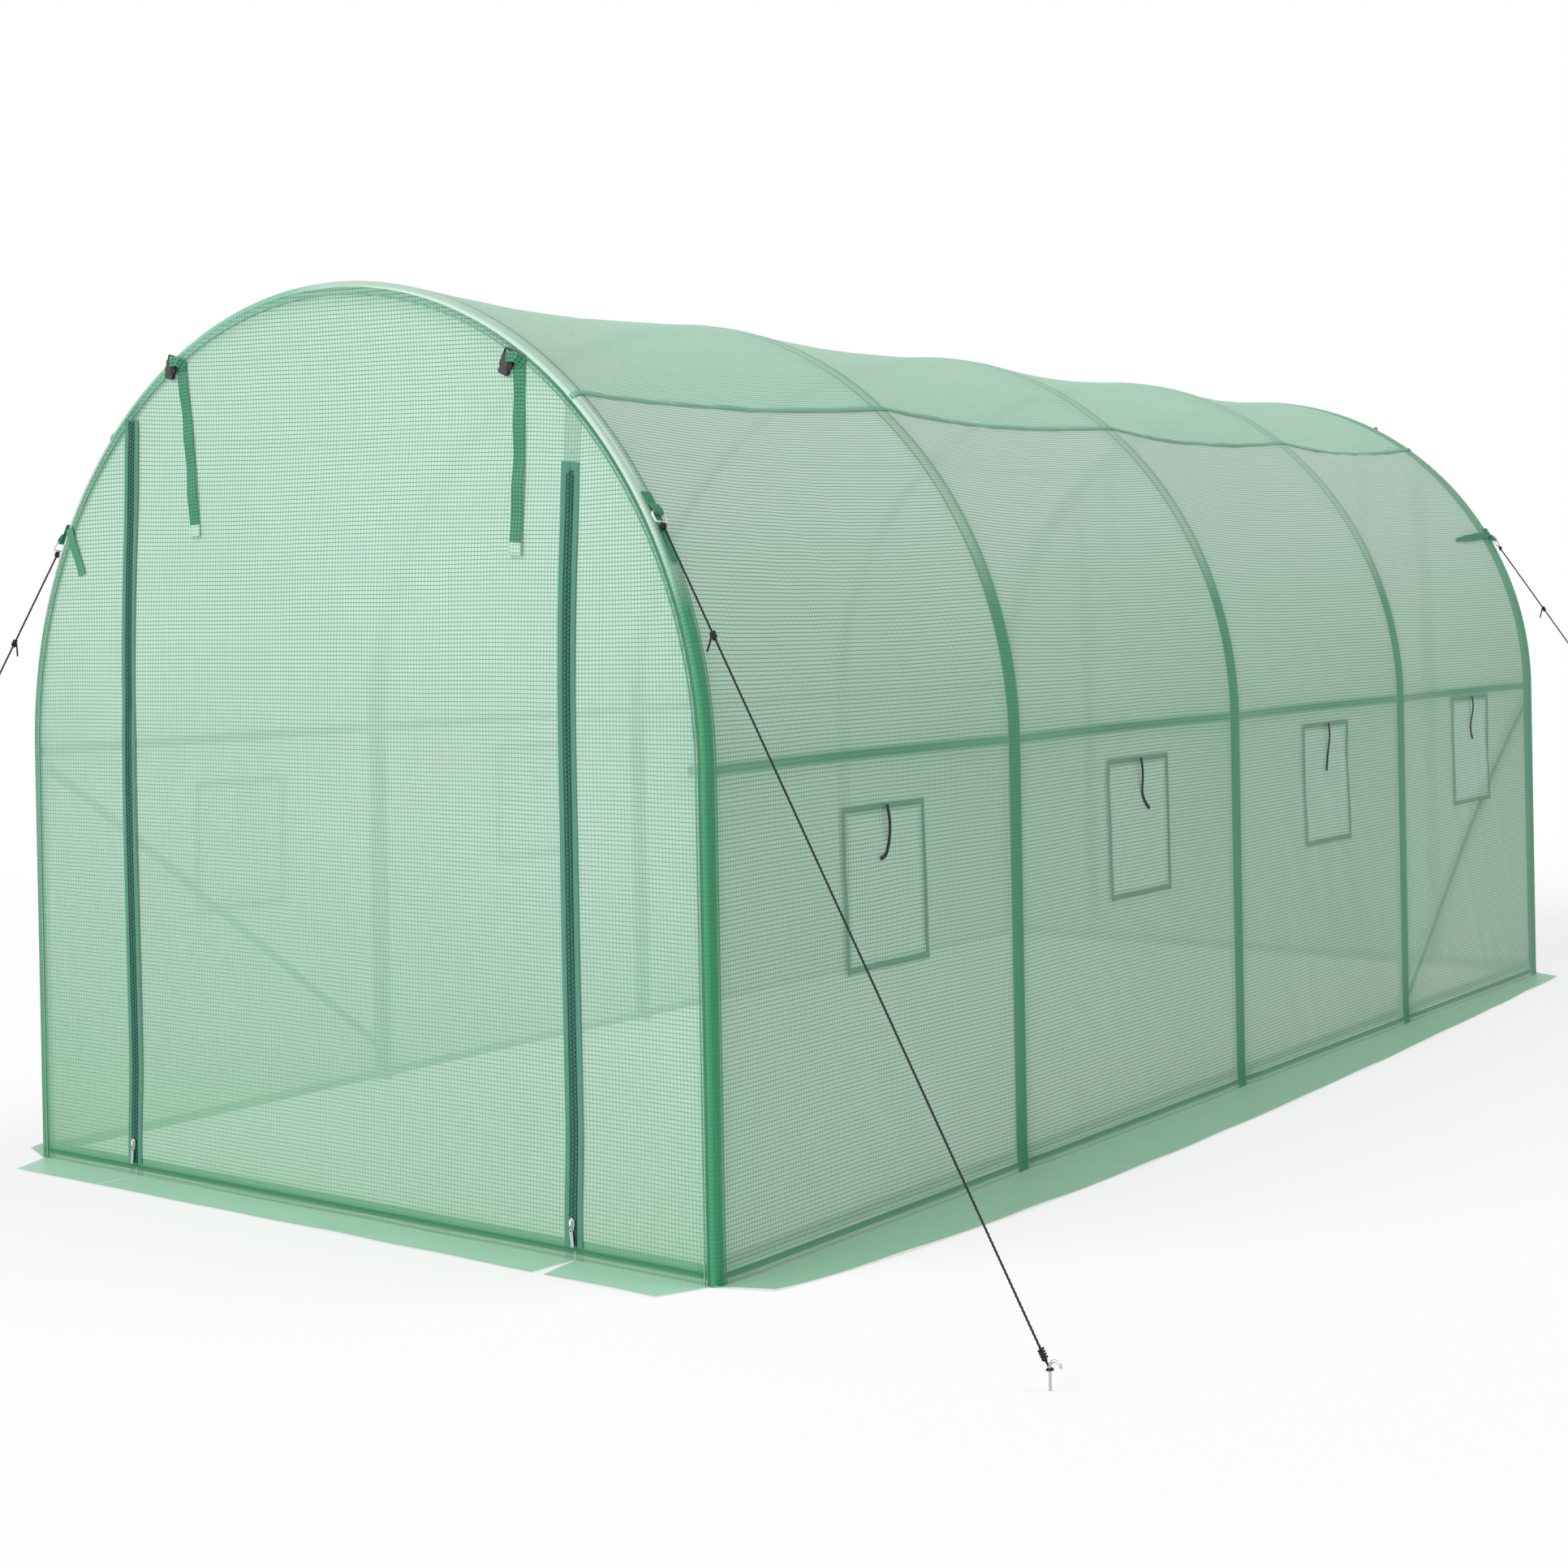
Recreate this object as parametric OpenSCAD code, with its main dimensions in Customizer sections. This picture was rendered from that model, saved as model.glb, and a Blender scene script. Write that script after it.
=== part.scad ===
// Walk-in polytunnel greenhouse: steel tube hoops under a translucent ripstop film cover.
// Millimetres. +Z is up, the front door faces -Y, and the origin is on the ground at the middle of the plan.

/* [Tunnel] */
// Length over the two end hoops
tunnel_length = 4500; // [3000:50:6000]
// Width over the hoop legs
tunnel_width = 2000; // [1700:20:2600]
// Straight height of a hoop leg, up to where the bow starts
leg_height = 960; // [800:10:1200]
// Number of bays between the hoops
bay_count = 4; // [3:1:6]

/* [Tubes] */
// Outside diameter of the hoop tubes
hoop_od = 25; // [20:1:32]
// Outside diameter of the side rails and base rails
rail_od = 22; // [16:1:28]
// Outside diameter of the diagonal braces
brace_od = 19; // [14:1:24]
// Wall thickness of every tube
tube_wall = 1.2; // [0.8:0.1:2]
// Length of the swaged end that plugs one tube into the next
spigot_length = 45; // [25:5:70]
// Angle above the horizontal where a shoulder tube meets the crown tube
crown_joint_angle = 50; // [40:1:60]
// How far the side rails lie below the top of the legs
rail_drop = 0; // [0:5:60]
// Height of the base rails' axis above the ground
base_rail_height = 26; // [20:1:60]
// Room between a brace's bolted end and the rail beside it
brace_room = 26; // [22:1:60]
// Length of a brace's flattened end
brace_tab = 48; // [40:1:70]

/* [Cover] */
// Thickness of the film, drawn thicker than the real sheet
film_t = 2; // [1:0.5:4]
// How far the film hangs in between hoops at 45 degrees
haunch_sag = 22; // [10:1:90]
// How far the film hangs in between hoops at the ridge
ridge_sag = 16; // [10:1:60]
// Width of the skirt that lies on the ground along each side
skirt_width = 195; // [100:5:300]
// Width of the skirt that lies on the ground across each end
end_skirt_width = 115; // [80:5:300]

/* [End doors] */
// Distance of each zip from the middle of the door
zip_x = 655; // [500:5:700]
// Width of a zip with its tapes
zip_w = 46; // [30:1:60]
// Width of the zip's raised coil
zip_coil_w = 14; // [8:1:20]
// Half the distance between the two door straps
strap_x = 500; // [350:5:520]
// How far both door straps hang to the right of the middle
strap_shift = 60; // [0:5:70]
// Lean of the door straps, with their feet towards the middle
strap_lean = 4; // [0:1:10]
// Length of a hanging door strap
strap_length = 385; // [250:5:500]
// Width of a door strap
strap_w = 30; // [20:1:40]

/* [Windows] */
// Width of a window flap
window_w = 306; // [200:2:360]
// Height of a window flap
window_h = 338; // [200:2:420]
// How far a flap laps over the opening on each side
window_lap = 20; // [12:1:30]
// How far the rear window's top edge lies below the axis of the side rail
window_drop = 14; // [12:1:60]
// How far each window sits behind the middle of its bay
window_shift = 45; // [-60:5:60]
// How much higher each window sits than the one in front of it
window_rise = 30; // [0:1:30]
// Length of a window tie
tie_length = 135; // [80:5:200]
// Width of a window tie
tie_w = 9; // [6:1:16]

/* [Guy ropes] */
// Angle on the bow, above the top of the leg, where a rope is held
guy_angle = 30; // [20:1:40]
// Distance of a rope's ground stake out from the side of the tunnel
guy_out = 800; // [600:10:1200]
// Distance of a rope's ground stake in front of the end hoop
guy_reach = 170; // [100:10:800]
// Diameter of a rope
rope_d = 5; // [3:0.5:8]
// Diameter of the wire that rings and stakes are bent from
wire_d = 5; // [4:0.5:8]

/* [Hidden] */
$fn = 48;
// Gap between pieces that lie on or in each other
fit_gap = 0.3;
// Half sizes of the frame
half_w = tunnel_width / 2;
half_l = tunnel_length / 2;
bow_r = half_w - hoop_od / 2;
pitch = (tunnel_length - hoop_od) / bay_count;
bays = [0 : bay_count - 1];
function hoop_y(i) = i * pitch - half_l + hoop_od / 2;
function bay_y(i) = hoop_y(i) + pitch / 2;
function window_y(i) = bay_y(i) + window_shift;
// Rails pass inside the hoops, one tube diameter in from the film
rail_x = half_w - hoop_od - fit_gap - rail_od / 2;
rail_z = leg_height - rail_drop;
rail_end = half_l - 1.5;
// Braces lie against the inside of the hoops
brace_x = half_w - hoop_od - fit_gap - brace_od / 2;
tab_t = 2 * tube_wall;
tab_w = brace_od * 1.35;
// The film is a faceted shell, and its flats clear the round tubes
arc_step = 5;
skin_r = (half_w + fit_gap) / cos(arc_step / 2);
ridge_s = leg_height + skin_r * PI / 2;
function arc_s(a) = leg_height + skin_r * a * PI / 180;
// Film pulled in at the rail lies on it, and the wall below leans out to its foot
rail_sag = hoop_od;
sag_mean = (rail_sag + ridge_sag) / 2;
// End panels lie in front of the end hoops
end_y = half_l + fit_gap;
panel_r = half_w;
front_y = end_y + film_t + fit_gap;
zip_t = 2;
coil_t = 2.5;
zip_z = 30;
slider_l = 36;
buckle_w = 34;
buckle_h = 46;
buckle_t = 12;
buckle_tilt = 20;
strap_inset = 30;
strap_fold_h = 20;
// Guy fittings stand out from the film at the end hoops
guy_strap_l = 24;
guy_strap_w = 28;
ring_l = 26;
ring_wire = 0.8 * wire_d;
rope_knot = 2.5 * rope_d;
guy_x = half_w + guy_out;
guy_y = half_l - hoop_od / 2;
stake_y = half_l + guy_reach;
stake_h = 34;

// Colours
steel_green = [0.30, 0.58, 0.42];
film_green = [0.62, 0.85, 0.72, 0.7];
zip_teal = [0.05, 0.36, 0.30];
webbing_green = [0.10, 0.52, 0.34];

// Tubes

// A length of tube along +Z, with a swaged end on top if it plugs into another tube
module straight_tube(od, len, swaged) {
    spigot_od = od - 2 * tube_wall - 2 * fit_gap;
    neck = 2 * tube_wall;
    difference() {
        union() {
            cylinder(d = od, h = len);
            if (swaged) cylinder(d = spigot_od, h = len + spigot_length);
        }
        translate([0, 0, -1]) cylinder(d = od - 2 * tube_wall, h = len + 1 - (swaged ? neck : -1));
        translate([0, 0, -1]) cylinder(d = spigot_od - 2 * tube_wall, h = len + spigot_length + 2);
    }
}

// A curved rod along the bow between two angles
module bow_rod(from, to, od) {
    translate([0, 0, leg_height]) rotate([90, 0, 0]) rotate([0, 0, from])
        rotate_extrude(angle = to - from, $fn = 180) translate([bow_r, 0]) circle(d = od, $fn = 48);
}

// Sizes of a hoop tube's swaged end: a thick neck below the joint and a thinner spigot above it
tube_id = hoop_od - 2 * tube_wall;
spigot_od = tube_id - 2 * fit_gap;
spigot_id = spigot_od - 2 * tube_wall;
spigot_angle = spigot_length / bow_r * 180 / PI;
neck_angle = 2 * tube_wall / bow_r * 180 / PI;
gap_angle = fit_gap / bow_r * 180 / PI;

// A straight leg, with a swaged end that follows the bow
module hoop_leg() {
    neck = 2 * tube_wall;
    difference() {
        union() {
            translate([bow_r, 0, 0]) cylinder(d = hoop_od, h = leg_height);
            bow_rod(0, spigot_angle, spigot_od);
        }
        translate([bow_r, 0, -1]) cylinder(d = tube_id, h = leg_height + 1 - neck);
        translate([bow_r, 0, -1]) cylinder(d = spigot_id, h = leg_height + 1);
        bow_rod(0, spigot_angle + 1, spigot_id);
    }
}

// A curved shoulder tube, with a swaged end that follows the bow
module hoop_shoulder() {
    difference() {
        union() {
            bow_rod(gap_angle, crown_joint_angle, hoop_od);
            bow_rod(crown_joint_angle / 2, crown_joint_angle + spigot_angle, spigot_od);
        }
        bow_rod(-1, crown_joint_angle - neck_angle, tube_id);
        bow_rod(-1, crown_joint_angle + spigot_angle + 1, spigot_id);
    }
}

// The curved crown tube
module hoop_crown() {
    start = crown_joint_angle + gap_angle;
    difference() {
        bow_rod(start, 180 - start, hoop_od);
        bow_rod(start - 1, 181 - start, tube_id);
    }
}

// The same tube at every hoop, and on both sides
module at_hoops() {
    color(steel_green) for (i = [0 : bay_count]) translate([0, hoop_y(i), 0]) children();
}

module both_sides() {
    for (side = [0, 1]) mirror([side, 0, 0]) children();
}

// A rail along one side, of one tube to a bay, plugged together at the hoops
module long_rail(side, z) {
    color(steel_green) for (i = bays) {
        start = i == 0 ? -rail_end : hoop_y(i) + fit_gap;
        stop = i == bay_count - 1 ? rail_end : hoop_y(i + 1);
        translate([side * rail_x, start, z]) rotate([-90, 0, 0])
            straight_tube(rail_od, stop - start, i < bay_count - 1);
    }
}

// The base rail across one end, between the two side base rails
module end_rail(end) {
    reach = rail_x - rail_od / 2 - fit_gap;
    color(steel_green) translate([-reach, end * (half_l - hoop_od / 2), base_rail_height])
        rotate([0, 90, 0]) straight_tube(rail_od, 2 * reach, false);
}

// A diagonal brace on the left side of the first bay, with flattened ends that bolt to the hoops
module left_brace() {
    top = rail_z - rail_od / 2 - brace_room;
    foot = base_rail_height + rail_od / 2 + brace_room;
    run = hoop_y(1) - hoop_y(0);
    drop = top - foot;
    span = sqrt(run * run + drop * drop);
    flat_x = -brace_od / 2 + tab_t / 2;
    color(steel_green) translate([-brace_x, hoop_y(0), top]) rotate([-90 - atan2(drop, run), 0, 0]) {
        difference() {
            translate([0, 0, 2 * brace_tab]) cylinder(d = brace_od, h = span - 4 * brace_tab);
            translate([0, 0, 2 * brace_tab - 1])
                cylinder(d = brace_od - 2 * tube_wall, h = span - 4 * brace_tab + 2);
        }
        for (end = [0, 1]) translate([0, 0, end * span]) mirror([0, 0, end]) {
            hull() {
                translate([0, 0, 2 * brace_tab - 1]) cylinder(d = brace_od, h = 1, $fn = 32);
                translate([flat_x - tab_t / 2, -tab_w / 2, brace_tab]) cube([tab_t, tab_w, 1]);
            }
            translate([flat_x - tab_t / 2, -tab_w / 2, 0]) cube([tab_t, tab_w, brace_tab]);
            translate([flat_x - tab_t / 2, 0, 0]) rotate([0, 90, 0]) cylinder(d = tab_w, h = tab_t);
        }
    }
}

// Film

// How far the film hangs in, halfway between two hoops, at a point of the profile
function deep_sag(s) =
    s < leg_height ? rail_sag * max(s, 0) / leg_height :
    let (a = (s - leg_height) / skin_r * 180 / PI)
    (sag_mean + haunch_sag) / 2 + (rail_sag - ridge_sag) / 2 * cos(2 * a)
        + (sag_mean - haunch_sag) / 2 * cos(4 * a);

// Share of that sag along the tunnel: none over a hoop and all of it halfway between hoops
function sag_share(y) =
    let (place = (y - hoop_y(0)) / pitch,
         bay = max(0, min(bay_count - 1, floor(place))),
         t = (y - hoop_y(bay) - hoop_od / 2) / (pitch - hoop_od))
    4 * max(0, min(1, t)) * (1 - max(0, min(1, t)));

// A point of the right half of the film. s runs from the skirt's edge, below 0, up the wall and over the bow,
// and d is the distance outward from the film's inside face.
function skin(y, s, d) =
    let (r = skin_r + d - deep_sag(s) * sag_share(y), a = (s - leg_height) / skin_r * 180 / PI)
    s < 0 ? [skin_r - s, y, d] :
    s == 0 ? [skin_r + d, y, d] :
    s < leg_height ? [r, y, s] :
    [r * cos(a), y, leg_height + r * sin(a)];

// A sheet between two distances from the film's inside face, on a grid of stations along and around the tunnel
module sheet(ys, ss, inner, outer) {
    m = len(ys);
    n = len(ss);
    back = m * n;
    points = [for (d = [outer, inner]) for (y = ys) for (s = ss) skin(y, s, d)];
    function cell(i, j) =
        let (near = i * n + j, far = near + n)
        [[near, far + 1, far], [near, near + 1, far + 1]];
    function turned(f) = [f[0] + back, f[2] + back, f[1] + back];
    function rim(a, b) = [[a, a + back, b + back], [a, b + back, b]];
    tops = [for (i = [0 : m - 2]) for (j = [0 : n - 2]) each cell(i, j)];
    sides = [for (j = [0 : n - 2]) each concat(rim(j, j + 1), rim((m - 1) * n + j + 1, (m - 1) * n + j))];
    ends = [for (i = [0 : m - 2]) each concat(rim((i + 1) * n, i * n), rim(i * n + n - 1, (i + 1) * n + n - 1))];
    polyhedron(points, concat(tops, [for (f = tops) turned(f)], sides, ends));
}

// Stations along the tunnel: both edges of every hoop's tube, and five places in every bay, three at its window
bay_reach = 0.34 * pitch;
function bay_stations(i) = [
    bay_y(i) - bay_reach,
    window_y(i) - window_w / 2, window_y(i), window_y(i) + window_w / 2,
    bay_y(i) + bay_reach];
cover_ys = [
    -end_y - film_t,
    for (i = [0 : bay_count]) each concat(
        [hoop_y(i) - hoop_od / 2, hoop_y(i) + hoop_od / 2],
        i < bay_count ? bay_stations(i) : []),
    end_y + film_t];
seam_angle = crown_joint_angle;
side_steps = ceil(seam_angle / arc_step);
bow_ss = [for (k = [0 : side_steps]) arc_s(seam_angle * k / side_steps)];
side_ss = concat([-skirt_width, 0, leg_height / 2], bow_ss);
roof_angle = 180 - 2 * seam_angle;
roof_steps = ceil(roof_angle / arc_step);
roof_ss = [for (k = [0 : roof_steps]) arc_s(seam_angle + roof_angle * k / roof_steps)];

function window_foot(i) = rail_z - window_drop - window_h - (bay_count - 1 - i) * window_rise;

// The film over the right side, from its skirt to the seam, with the window openings cut through
module side_cover() {
    color(film_green) difference() {
        sheet(cover_ys, side_ss, 0, film_t);
        open_w = window_w - 2 * window_lap;
        open_h = window_h - 2 * window_lap;
        for (i = bays)
            translate([half_w - 2 * rail_sag, window_y(i) - open_w / 2, window_foot(i) + window_lap])
                cube([4 * rail_sag, open_w, open_h]);
    }
}

module roof_cover() {
    color(film_green) sheet(cover_ys, roof_ss, 0, film_t);
}

// A flat-sewn sheet that covers each window opening of the right side, out to its lap
module window_sheets(inner, outer) {
    for (i = bays) {
        ys = [for (place = [-1, 0, 1]) window_y(i) + place * window_w / 2];
        sheet(ys, [window_foot(i), window_foot(i) + window_h], inner, outer);
    }
}

module window_flaps() {
    color(film_green) window_sheets(film_t + fit_gap, 2 * film_t + fit_gap);
}

module window_screens() {
    color([0.5, 0.7, 0.6, 0.6]) window_sheets(-fit_gap - 1, -fit_gap);
}

// A tie hangs from the top edge of each window flap
module window_ties() {
    lift = 2 * film_t + 2 * fit_gap;
    color([0.03, 0.05, 0.05]) for (i = bays) {
        top = window_foot(i) + window_h;
        sheet([window_y(i) - tie_w / 2, window_y(i) + tie_w / 2], [top - tie_length, top], lift, lift + film_t);
    }
}

// End panels

// The outline of a whole end panel, in the plane of the hoop
module end_outline() {
    translate([-panel_r, 0]) square([2 * panel_r, leg_height]);
    intersection() {
        translate([0, leg_height]) circle(r = panel_r, $fn = 180);
        translate([-panel_r, leg_height - 1]) square([2 * panel_r, panel_r + 1]);
    }
}

// One panel of the front end between two widths, with its skirt turned out on the ground
module end_panel(from, to) {
    color(film_green) {
        translate([0, -end_y, 0]) rotate([90, 0, 0]) linear_extrude(film_t) intersection() {
            end_outline();
            translate([from, 0]) square([to - from, leg_height + panel_r + 1]);
        }
        translate([from, -end_y - end_skirt_width, 0]) cube([to - from, end_skirt_width, film_t]);
    }
}

slit = fit_gap;
module left_panel() end_panel(-panel_r, -zip_x - slit);
module door_panel() end_panel(-zip_x + slit, zip_x - slit);
module right_panel() end_panel(zip_x + slit, panel_r);

// A zip: two tapes over the slit and the coil between them, up to the hoop
module zip() {
    height = leg_height + sqrt(panel_r * panel_r - pow(zip_x + zip_w / 2, 2)) - zip_z;
    translate([zip_x - zip_w / 2, -front_y - zip_t, zip_z]) cube([zip_w, zip_t, height]);
    translate([zip_x - zip_coil_w / 2, -front_y - zip_t - coil_t, zip_z]) cube([zip_coil_w, coil_t, height]);
}

module zips() {
    color(zip_teal) for (side = [0, 1]) mirror([side, 0, 0]) zip();
}

// A slider on the coil with its pull tab, at the bottom of each zip
module zip_sliders() {
    y = -front_y - zip_t - coil_t - fit_gap;
    color([0.75, 0.76, 0.76]) for (side = [-1, 1])
        translate([side * zip_x, y, zip_z + slider_l]) rotate([90, 0, 0]) {
            linear_extrude(3) hull() {
                translate([0, slider_l / 3]) circle(d = zip_coil_w);
                circle(d = zip_coil_w * 0.7);
            }
            translate([0, -slider_l / 2, 0]) linear_extrude(1.5) difference() {
                square([zip_coil_w * 0.6, slider_l], center = true);
                translate([0, -slider_l / 3]) circle(d = zip_coil_w * 0.3);
            }
        }
}

// The children hang from the top of each door strap, in the plane of the end panel's face
function strap_at(side) = side * strap_x + strap_shift;
module on_straps() {
    for (side = [-1, 1]) {
        top = leg_height + sqrt(panel_r * panel_r - pow(strap_at(side), 2)) - strap_inset;
        translate([strap_at(side), -front_y, top]) rotate([0, side * strap_lean, 0]) children();
    }
}

// Straps that tie the rolled-up door: each hangs from the rim and has a fold beside its top that holds the buckle
module door_straps() {
    fold_l = buckle_w * 0.8;
    color(webbing_green) on_straps() {
        translate([-strap_w / 2, -film_t, -strap_length]) cube([strap_w, film_t, strap_length]);
        translate([-strap_w / 2 - fold_l, -film_t, -strap_fold_h]) cube([fold_l + 1, film_t, strap_fold_h]);
    }
}

// A side-release buckle that hangs from the fold of each strap: a waisted body with a slot for the webbing
module strap_buckles() {
    color([0.07, 0.07, 0.08]) on_straps()
        translate([-strap_w, -film_t - fit_gap, -strap_fold_h / 2]) rotate([0, buckle_tilt, 0]) rotate([90, 0, 0])
            linear_extrude(buckle_t) difference() {
                square([buckle_w, buckle_h], center = true);
                for (k = [-1, 1]) translate([k * buckle_w * 0.68, 0]) circle(d = buckle_h * 0.5);
                translate([0, buckle_h * 0.36]) square([buckle_w * 0.7, buckle_h * 0.1], center = true);
            }
}

// The rear end is the front end turned round
module rear() rotate(180) children();

// Guy ropes

// Where a guy strap is sewn on over the front right hoop, and the line from there to the stake
loop_bore = 1.5 * ring_wire + fit_gap;
loop_od = loop_bore + 2 * film_t;
guy_r = skin_r + film_t + loop_od / 2;
guy_start = [guy_r * cos(guy_angle), -guy_y, leg_height + guy_r * sin(guy_angle)];
guy_stop = [guy_x, -stake_y, stake_h];
guy_run = guy_stop - guy_start;
guy_span = norm(guy_run);
ring_w = guy_strap_w + 2 * fit_gap + 2 * ring_wire;
knot_at = guy_strap_l - ring_wire / 2 + ring_l + fit_gap;
rope_end = guy_span - wire_d / 2 - rope_d / 2;

// The children lie along +Z on the line of a guy rope, and along the tunnel in Y, at each corner of the tunnel
module on_guys() {
    for (side = [0, 1]) for (end = [0, 1]) mirror([side, 0, 0]) mirror([0, end, 0]) translate(guy_start)
        rotate([0, atan2(guy_run[0], guy_run[2]), 0]) rotate([-asin(guy_run[1] / guy_span), 0, 0]) children();
}

// A short webbing strap sewn to the film, turned back at its lower end into a loop that lies proud of it
module guy_straps() {
    color(webbing_green) on_guys() difference() {
        union() {
            translate([loop_od / 2 - fit_gap - film_t, -guy_strap_w / 2, 0])
                cube([film_t, guy_strap_w, guy_strap_l]);
            translate([0, guy_strap_w / 2, guy_strap_l]) rotate([90, 0, 0]) cylinder(d = loop_od, h = guy_strap_w);
        }
        translate([0, guy_strap_w, guy_strap_l]) rotate([90, 0, 0]) cylinder(d = loop_bore, h = 2 * guy_strap_w);
    }
}

// A square ring through the loop
module guy_rings() {
    color([0.85, 0.86, 0.86]) on_guys() translate([-ring_wire / 2, 0, guy_strap_l - ring_wire / 2 + ring_l / 2])
        rotate([90, 0, 90]) linear_extrude(ring_wire) difference() {
            square([ring_w, ring_l], center = true);
            square([ring_w - 2 * ring_wire, ring_l - 2 * ring_wire], center = true);
        }
}

// A taut rope from its knot at the ring to its stake
module guy_ropes() {
    color([0.06, 0.08, 0.07]) on_guys() {
        translate([0, 0, knot_at]) cylinder(d = rope_knot, h = 3 * rope_d);
        translate([0, 0, knot_at]) cylinder(d = rope_d, h = rope_end - knot_at);
    }
}

// The hooked head of a ground stake, as it stands out of the ground
module guy_stakes() {
    hook_r = 2 * wire_d;
    color([0.6, 0.61, 0.62]) for (side = [-1, 1]) for (end = [-1, 1])
        translate([side * guy_x, end * stake_y, 0]) {
            cylinder(d = wire_d, h = stake_h + wire_d);
            translate([side * hook_r, 0, stake_h + wire_d]) rotate([90, 0, 0])
                rotate_extrude(angle = 180) translate([hook_r, 0]) circle(d = wire_d);
        }
}

at_hoops() both_sides() hoop_leg();  // hoop_legs
at_hoops() both_sides() hoop_shoulder();  // hoop_shoulders
at_hoops() hoop_crown();  // hoop_crowns
long_rail(-1, rail_z);  // left_side_rail
long_rail(1, rail_z);  // right_side_rail
long_rail(-1, base_rail_height);  // left_base_rail
long_rail(1, base_rail_height);  // right_base_rail
end_rail(-1);  // front_base_rail
end_rail(1);  // rear_base_rail
left_brace();  // left_front_brace
rear() left_brace();  // right_rear_brace
mirror([1, 0, 0]) side_cover();  // left_side_cover
side_cover();  // right_side_cover
roof_cover();
mirror([1, 0, 0]) window_flaps();  // left_window_flaps
window_flaps();  // right_window_flaps
mirror([1, 0, 0]) window_screens();  // left_window_screens
window_screens();  // right_window_screens
mirror([1, 0, 0]) window_ties();  // left_window_ties
window_ties();  // right_window_ties
left_panel();  // front_left_panel
door_panel();  // front_door_panel
right_panel();  // front_right_panel
zips();  // front_zips
zip_sliders();  // front_zip_sliders
door_straps();  // front_door_straps
strap_buckles();  // front_strap_buckles
rear() left_panel();  // rear_left_panel
rear() door_panel();  // rear_door_panel
rear() right_panel();  // rear_right_panel
rear() zips();  // rear_zips
rear() zip_sliders();  // rear_zip_sliders
rear() door_straps();  // rear_door_straps
rear() strap_buckles();  // rear_strap_buckles
guy_straps();
guy_rings();
guy_ropes();
guy_stakes();
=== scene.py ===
"""Looks of a walk-in polytunnel greenhouse: steel hoops under a translucent ripstop film.

Everything is in metres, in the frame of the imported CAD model: +Z is up, the front
door faces -Y and the origin is on the ground at the middle of the plan.
"""

import logging
import math
from dataclasses import dataclass
from enum import Enum
from typing import Callable, Optional, Sequence, Union

import bpy
from mathutils import Matrix, Vector, noise

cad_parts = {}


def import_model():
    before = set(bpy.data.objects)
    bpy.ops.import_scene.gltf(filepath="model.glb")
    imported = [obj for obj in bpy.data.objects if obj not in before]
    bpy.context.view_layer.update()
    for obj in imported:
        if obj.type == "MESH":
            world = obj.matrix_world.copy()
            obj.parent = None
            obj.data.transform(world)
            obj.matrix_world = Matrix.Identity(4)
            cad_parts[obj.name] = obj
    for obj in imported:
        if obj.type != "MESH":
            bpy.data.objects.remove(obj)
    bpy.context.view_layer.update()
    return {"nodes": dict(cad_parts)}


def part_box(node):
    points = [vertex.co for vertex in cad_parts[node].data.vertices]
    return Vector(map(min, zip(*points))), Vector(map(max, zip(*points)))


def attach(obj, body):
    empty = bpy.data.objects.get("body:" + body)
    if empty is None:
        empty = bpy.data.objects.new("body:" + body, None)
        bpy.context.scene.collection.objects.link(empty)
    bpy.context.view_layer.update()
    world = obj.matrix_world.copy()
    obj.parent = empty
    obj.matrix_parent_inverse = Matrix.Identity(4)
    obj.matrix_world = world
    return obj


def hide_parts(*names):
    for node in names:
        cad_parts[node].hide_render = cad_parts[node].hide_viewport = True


LOG = logging.getLogger("polytunnel")
BODY = "root"
IMAGE_SIDE = 1932
SIDES = (("right", 1), ("left", -1))
HANDS = (-1, 1)
X_AXIS, Y_AXIS, Z_AXIS = Vector((1, 0, 0)), Vector((0, 1, 0)), Vector((0, 0, 1))
STOOD_UP = Matrix.Rotation(math.pi / 2, 4, "X")
WHITE = (1.0, 1.0, 1.0)

Colour = tuple[float, float, float]
Pair = tuple[float, float]
Material = bpy.types.Material
Socket = bpy.types.NodeSocket


class Field:
    """A socket in a shader expression, whose operators add Math nodes."""

    def __init__(self, graph: "Graph", socket: Socket) -> None:
        """Wraps one output socket of a graph."""
        self.graph = graph
        self.socket = socket

    def __add__(self, other: "Value") -> "Field":
        """Sum of two values."""
        return self.graph.math("ADD", self, other)

    def __sub__(self, other: "Value") -> "Field":
        """Difference of two values."""
        return self.graph.math("SUBTRACT", self, other)

    def __rsub__(self, other: "Value") -> "Field":
        """A number less this value."""
        return self.graph.math("SUBTRACT", other, self)

    def __mul__(self, other: "Value") -> "Field":
        """Product of two values."""
        return self.graph.math("MULTIPLY", self, other)

    __radd__ = __add__
    __rmul__ = __mul__

    def __abs__(self) -> "Field":
        """Size of this value without its sign."""
        return self.graph.math("ABSOLUTE", self)

    def clamp(self) -> "Field":
        """This value held between 0 and 1."""
        return self.graph.math("ADD", self, 0.0, clamp=True)

    def ramp(self, first: float, last: float) -> "Field":
        """Share of the way from one value to another, held between 0 and 1."""
        return ((self - first) * (1 / (last - first))).clamp()

    def highest(self, other: "Value") -> "Field":
        """The larger of two values."""
        return self.graph.math("MAXIMUM", self, other)


Value = Union[Field, float]


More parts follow.
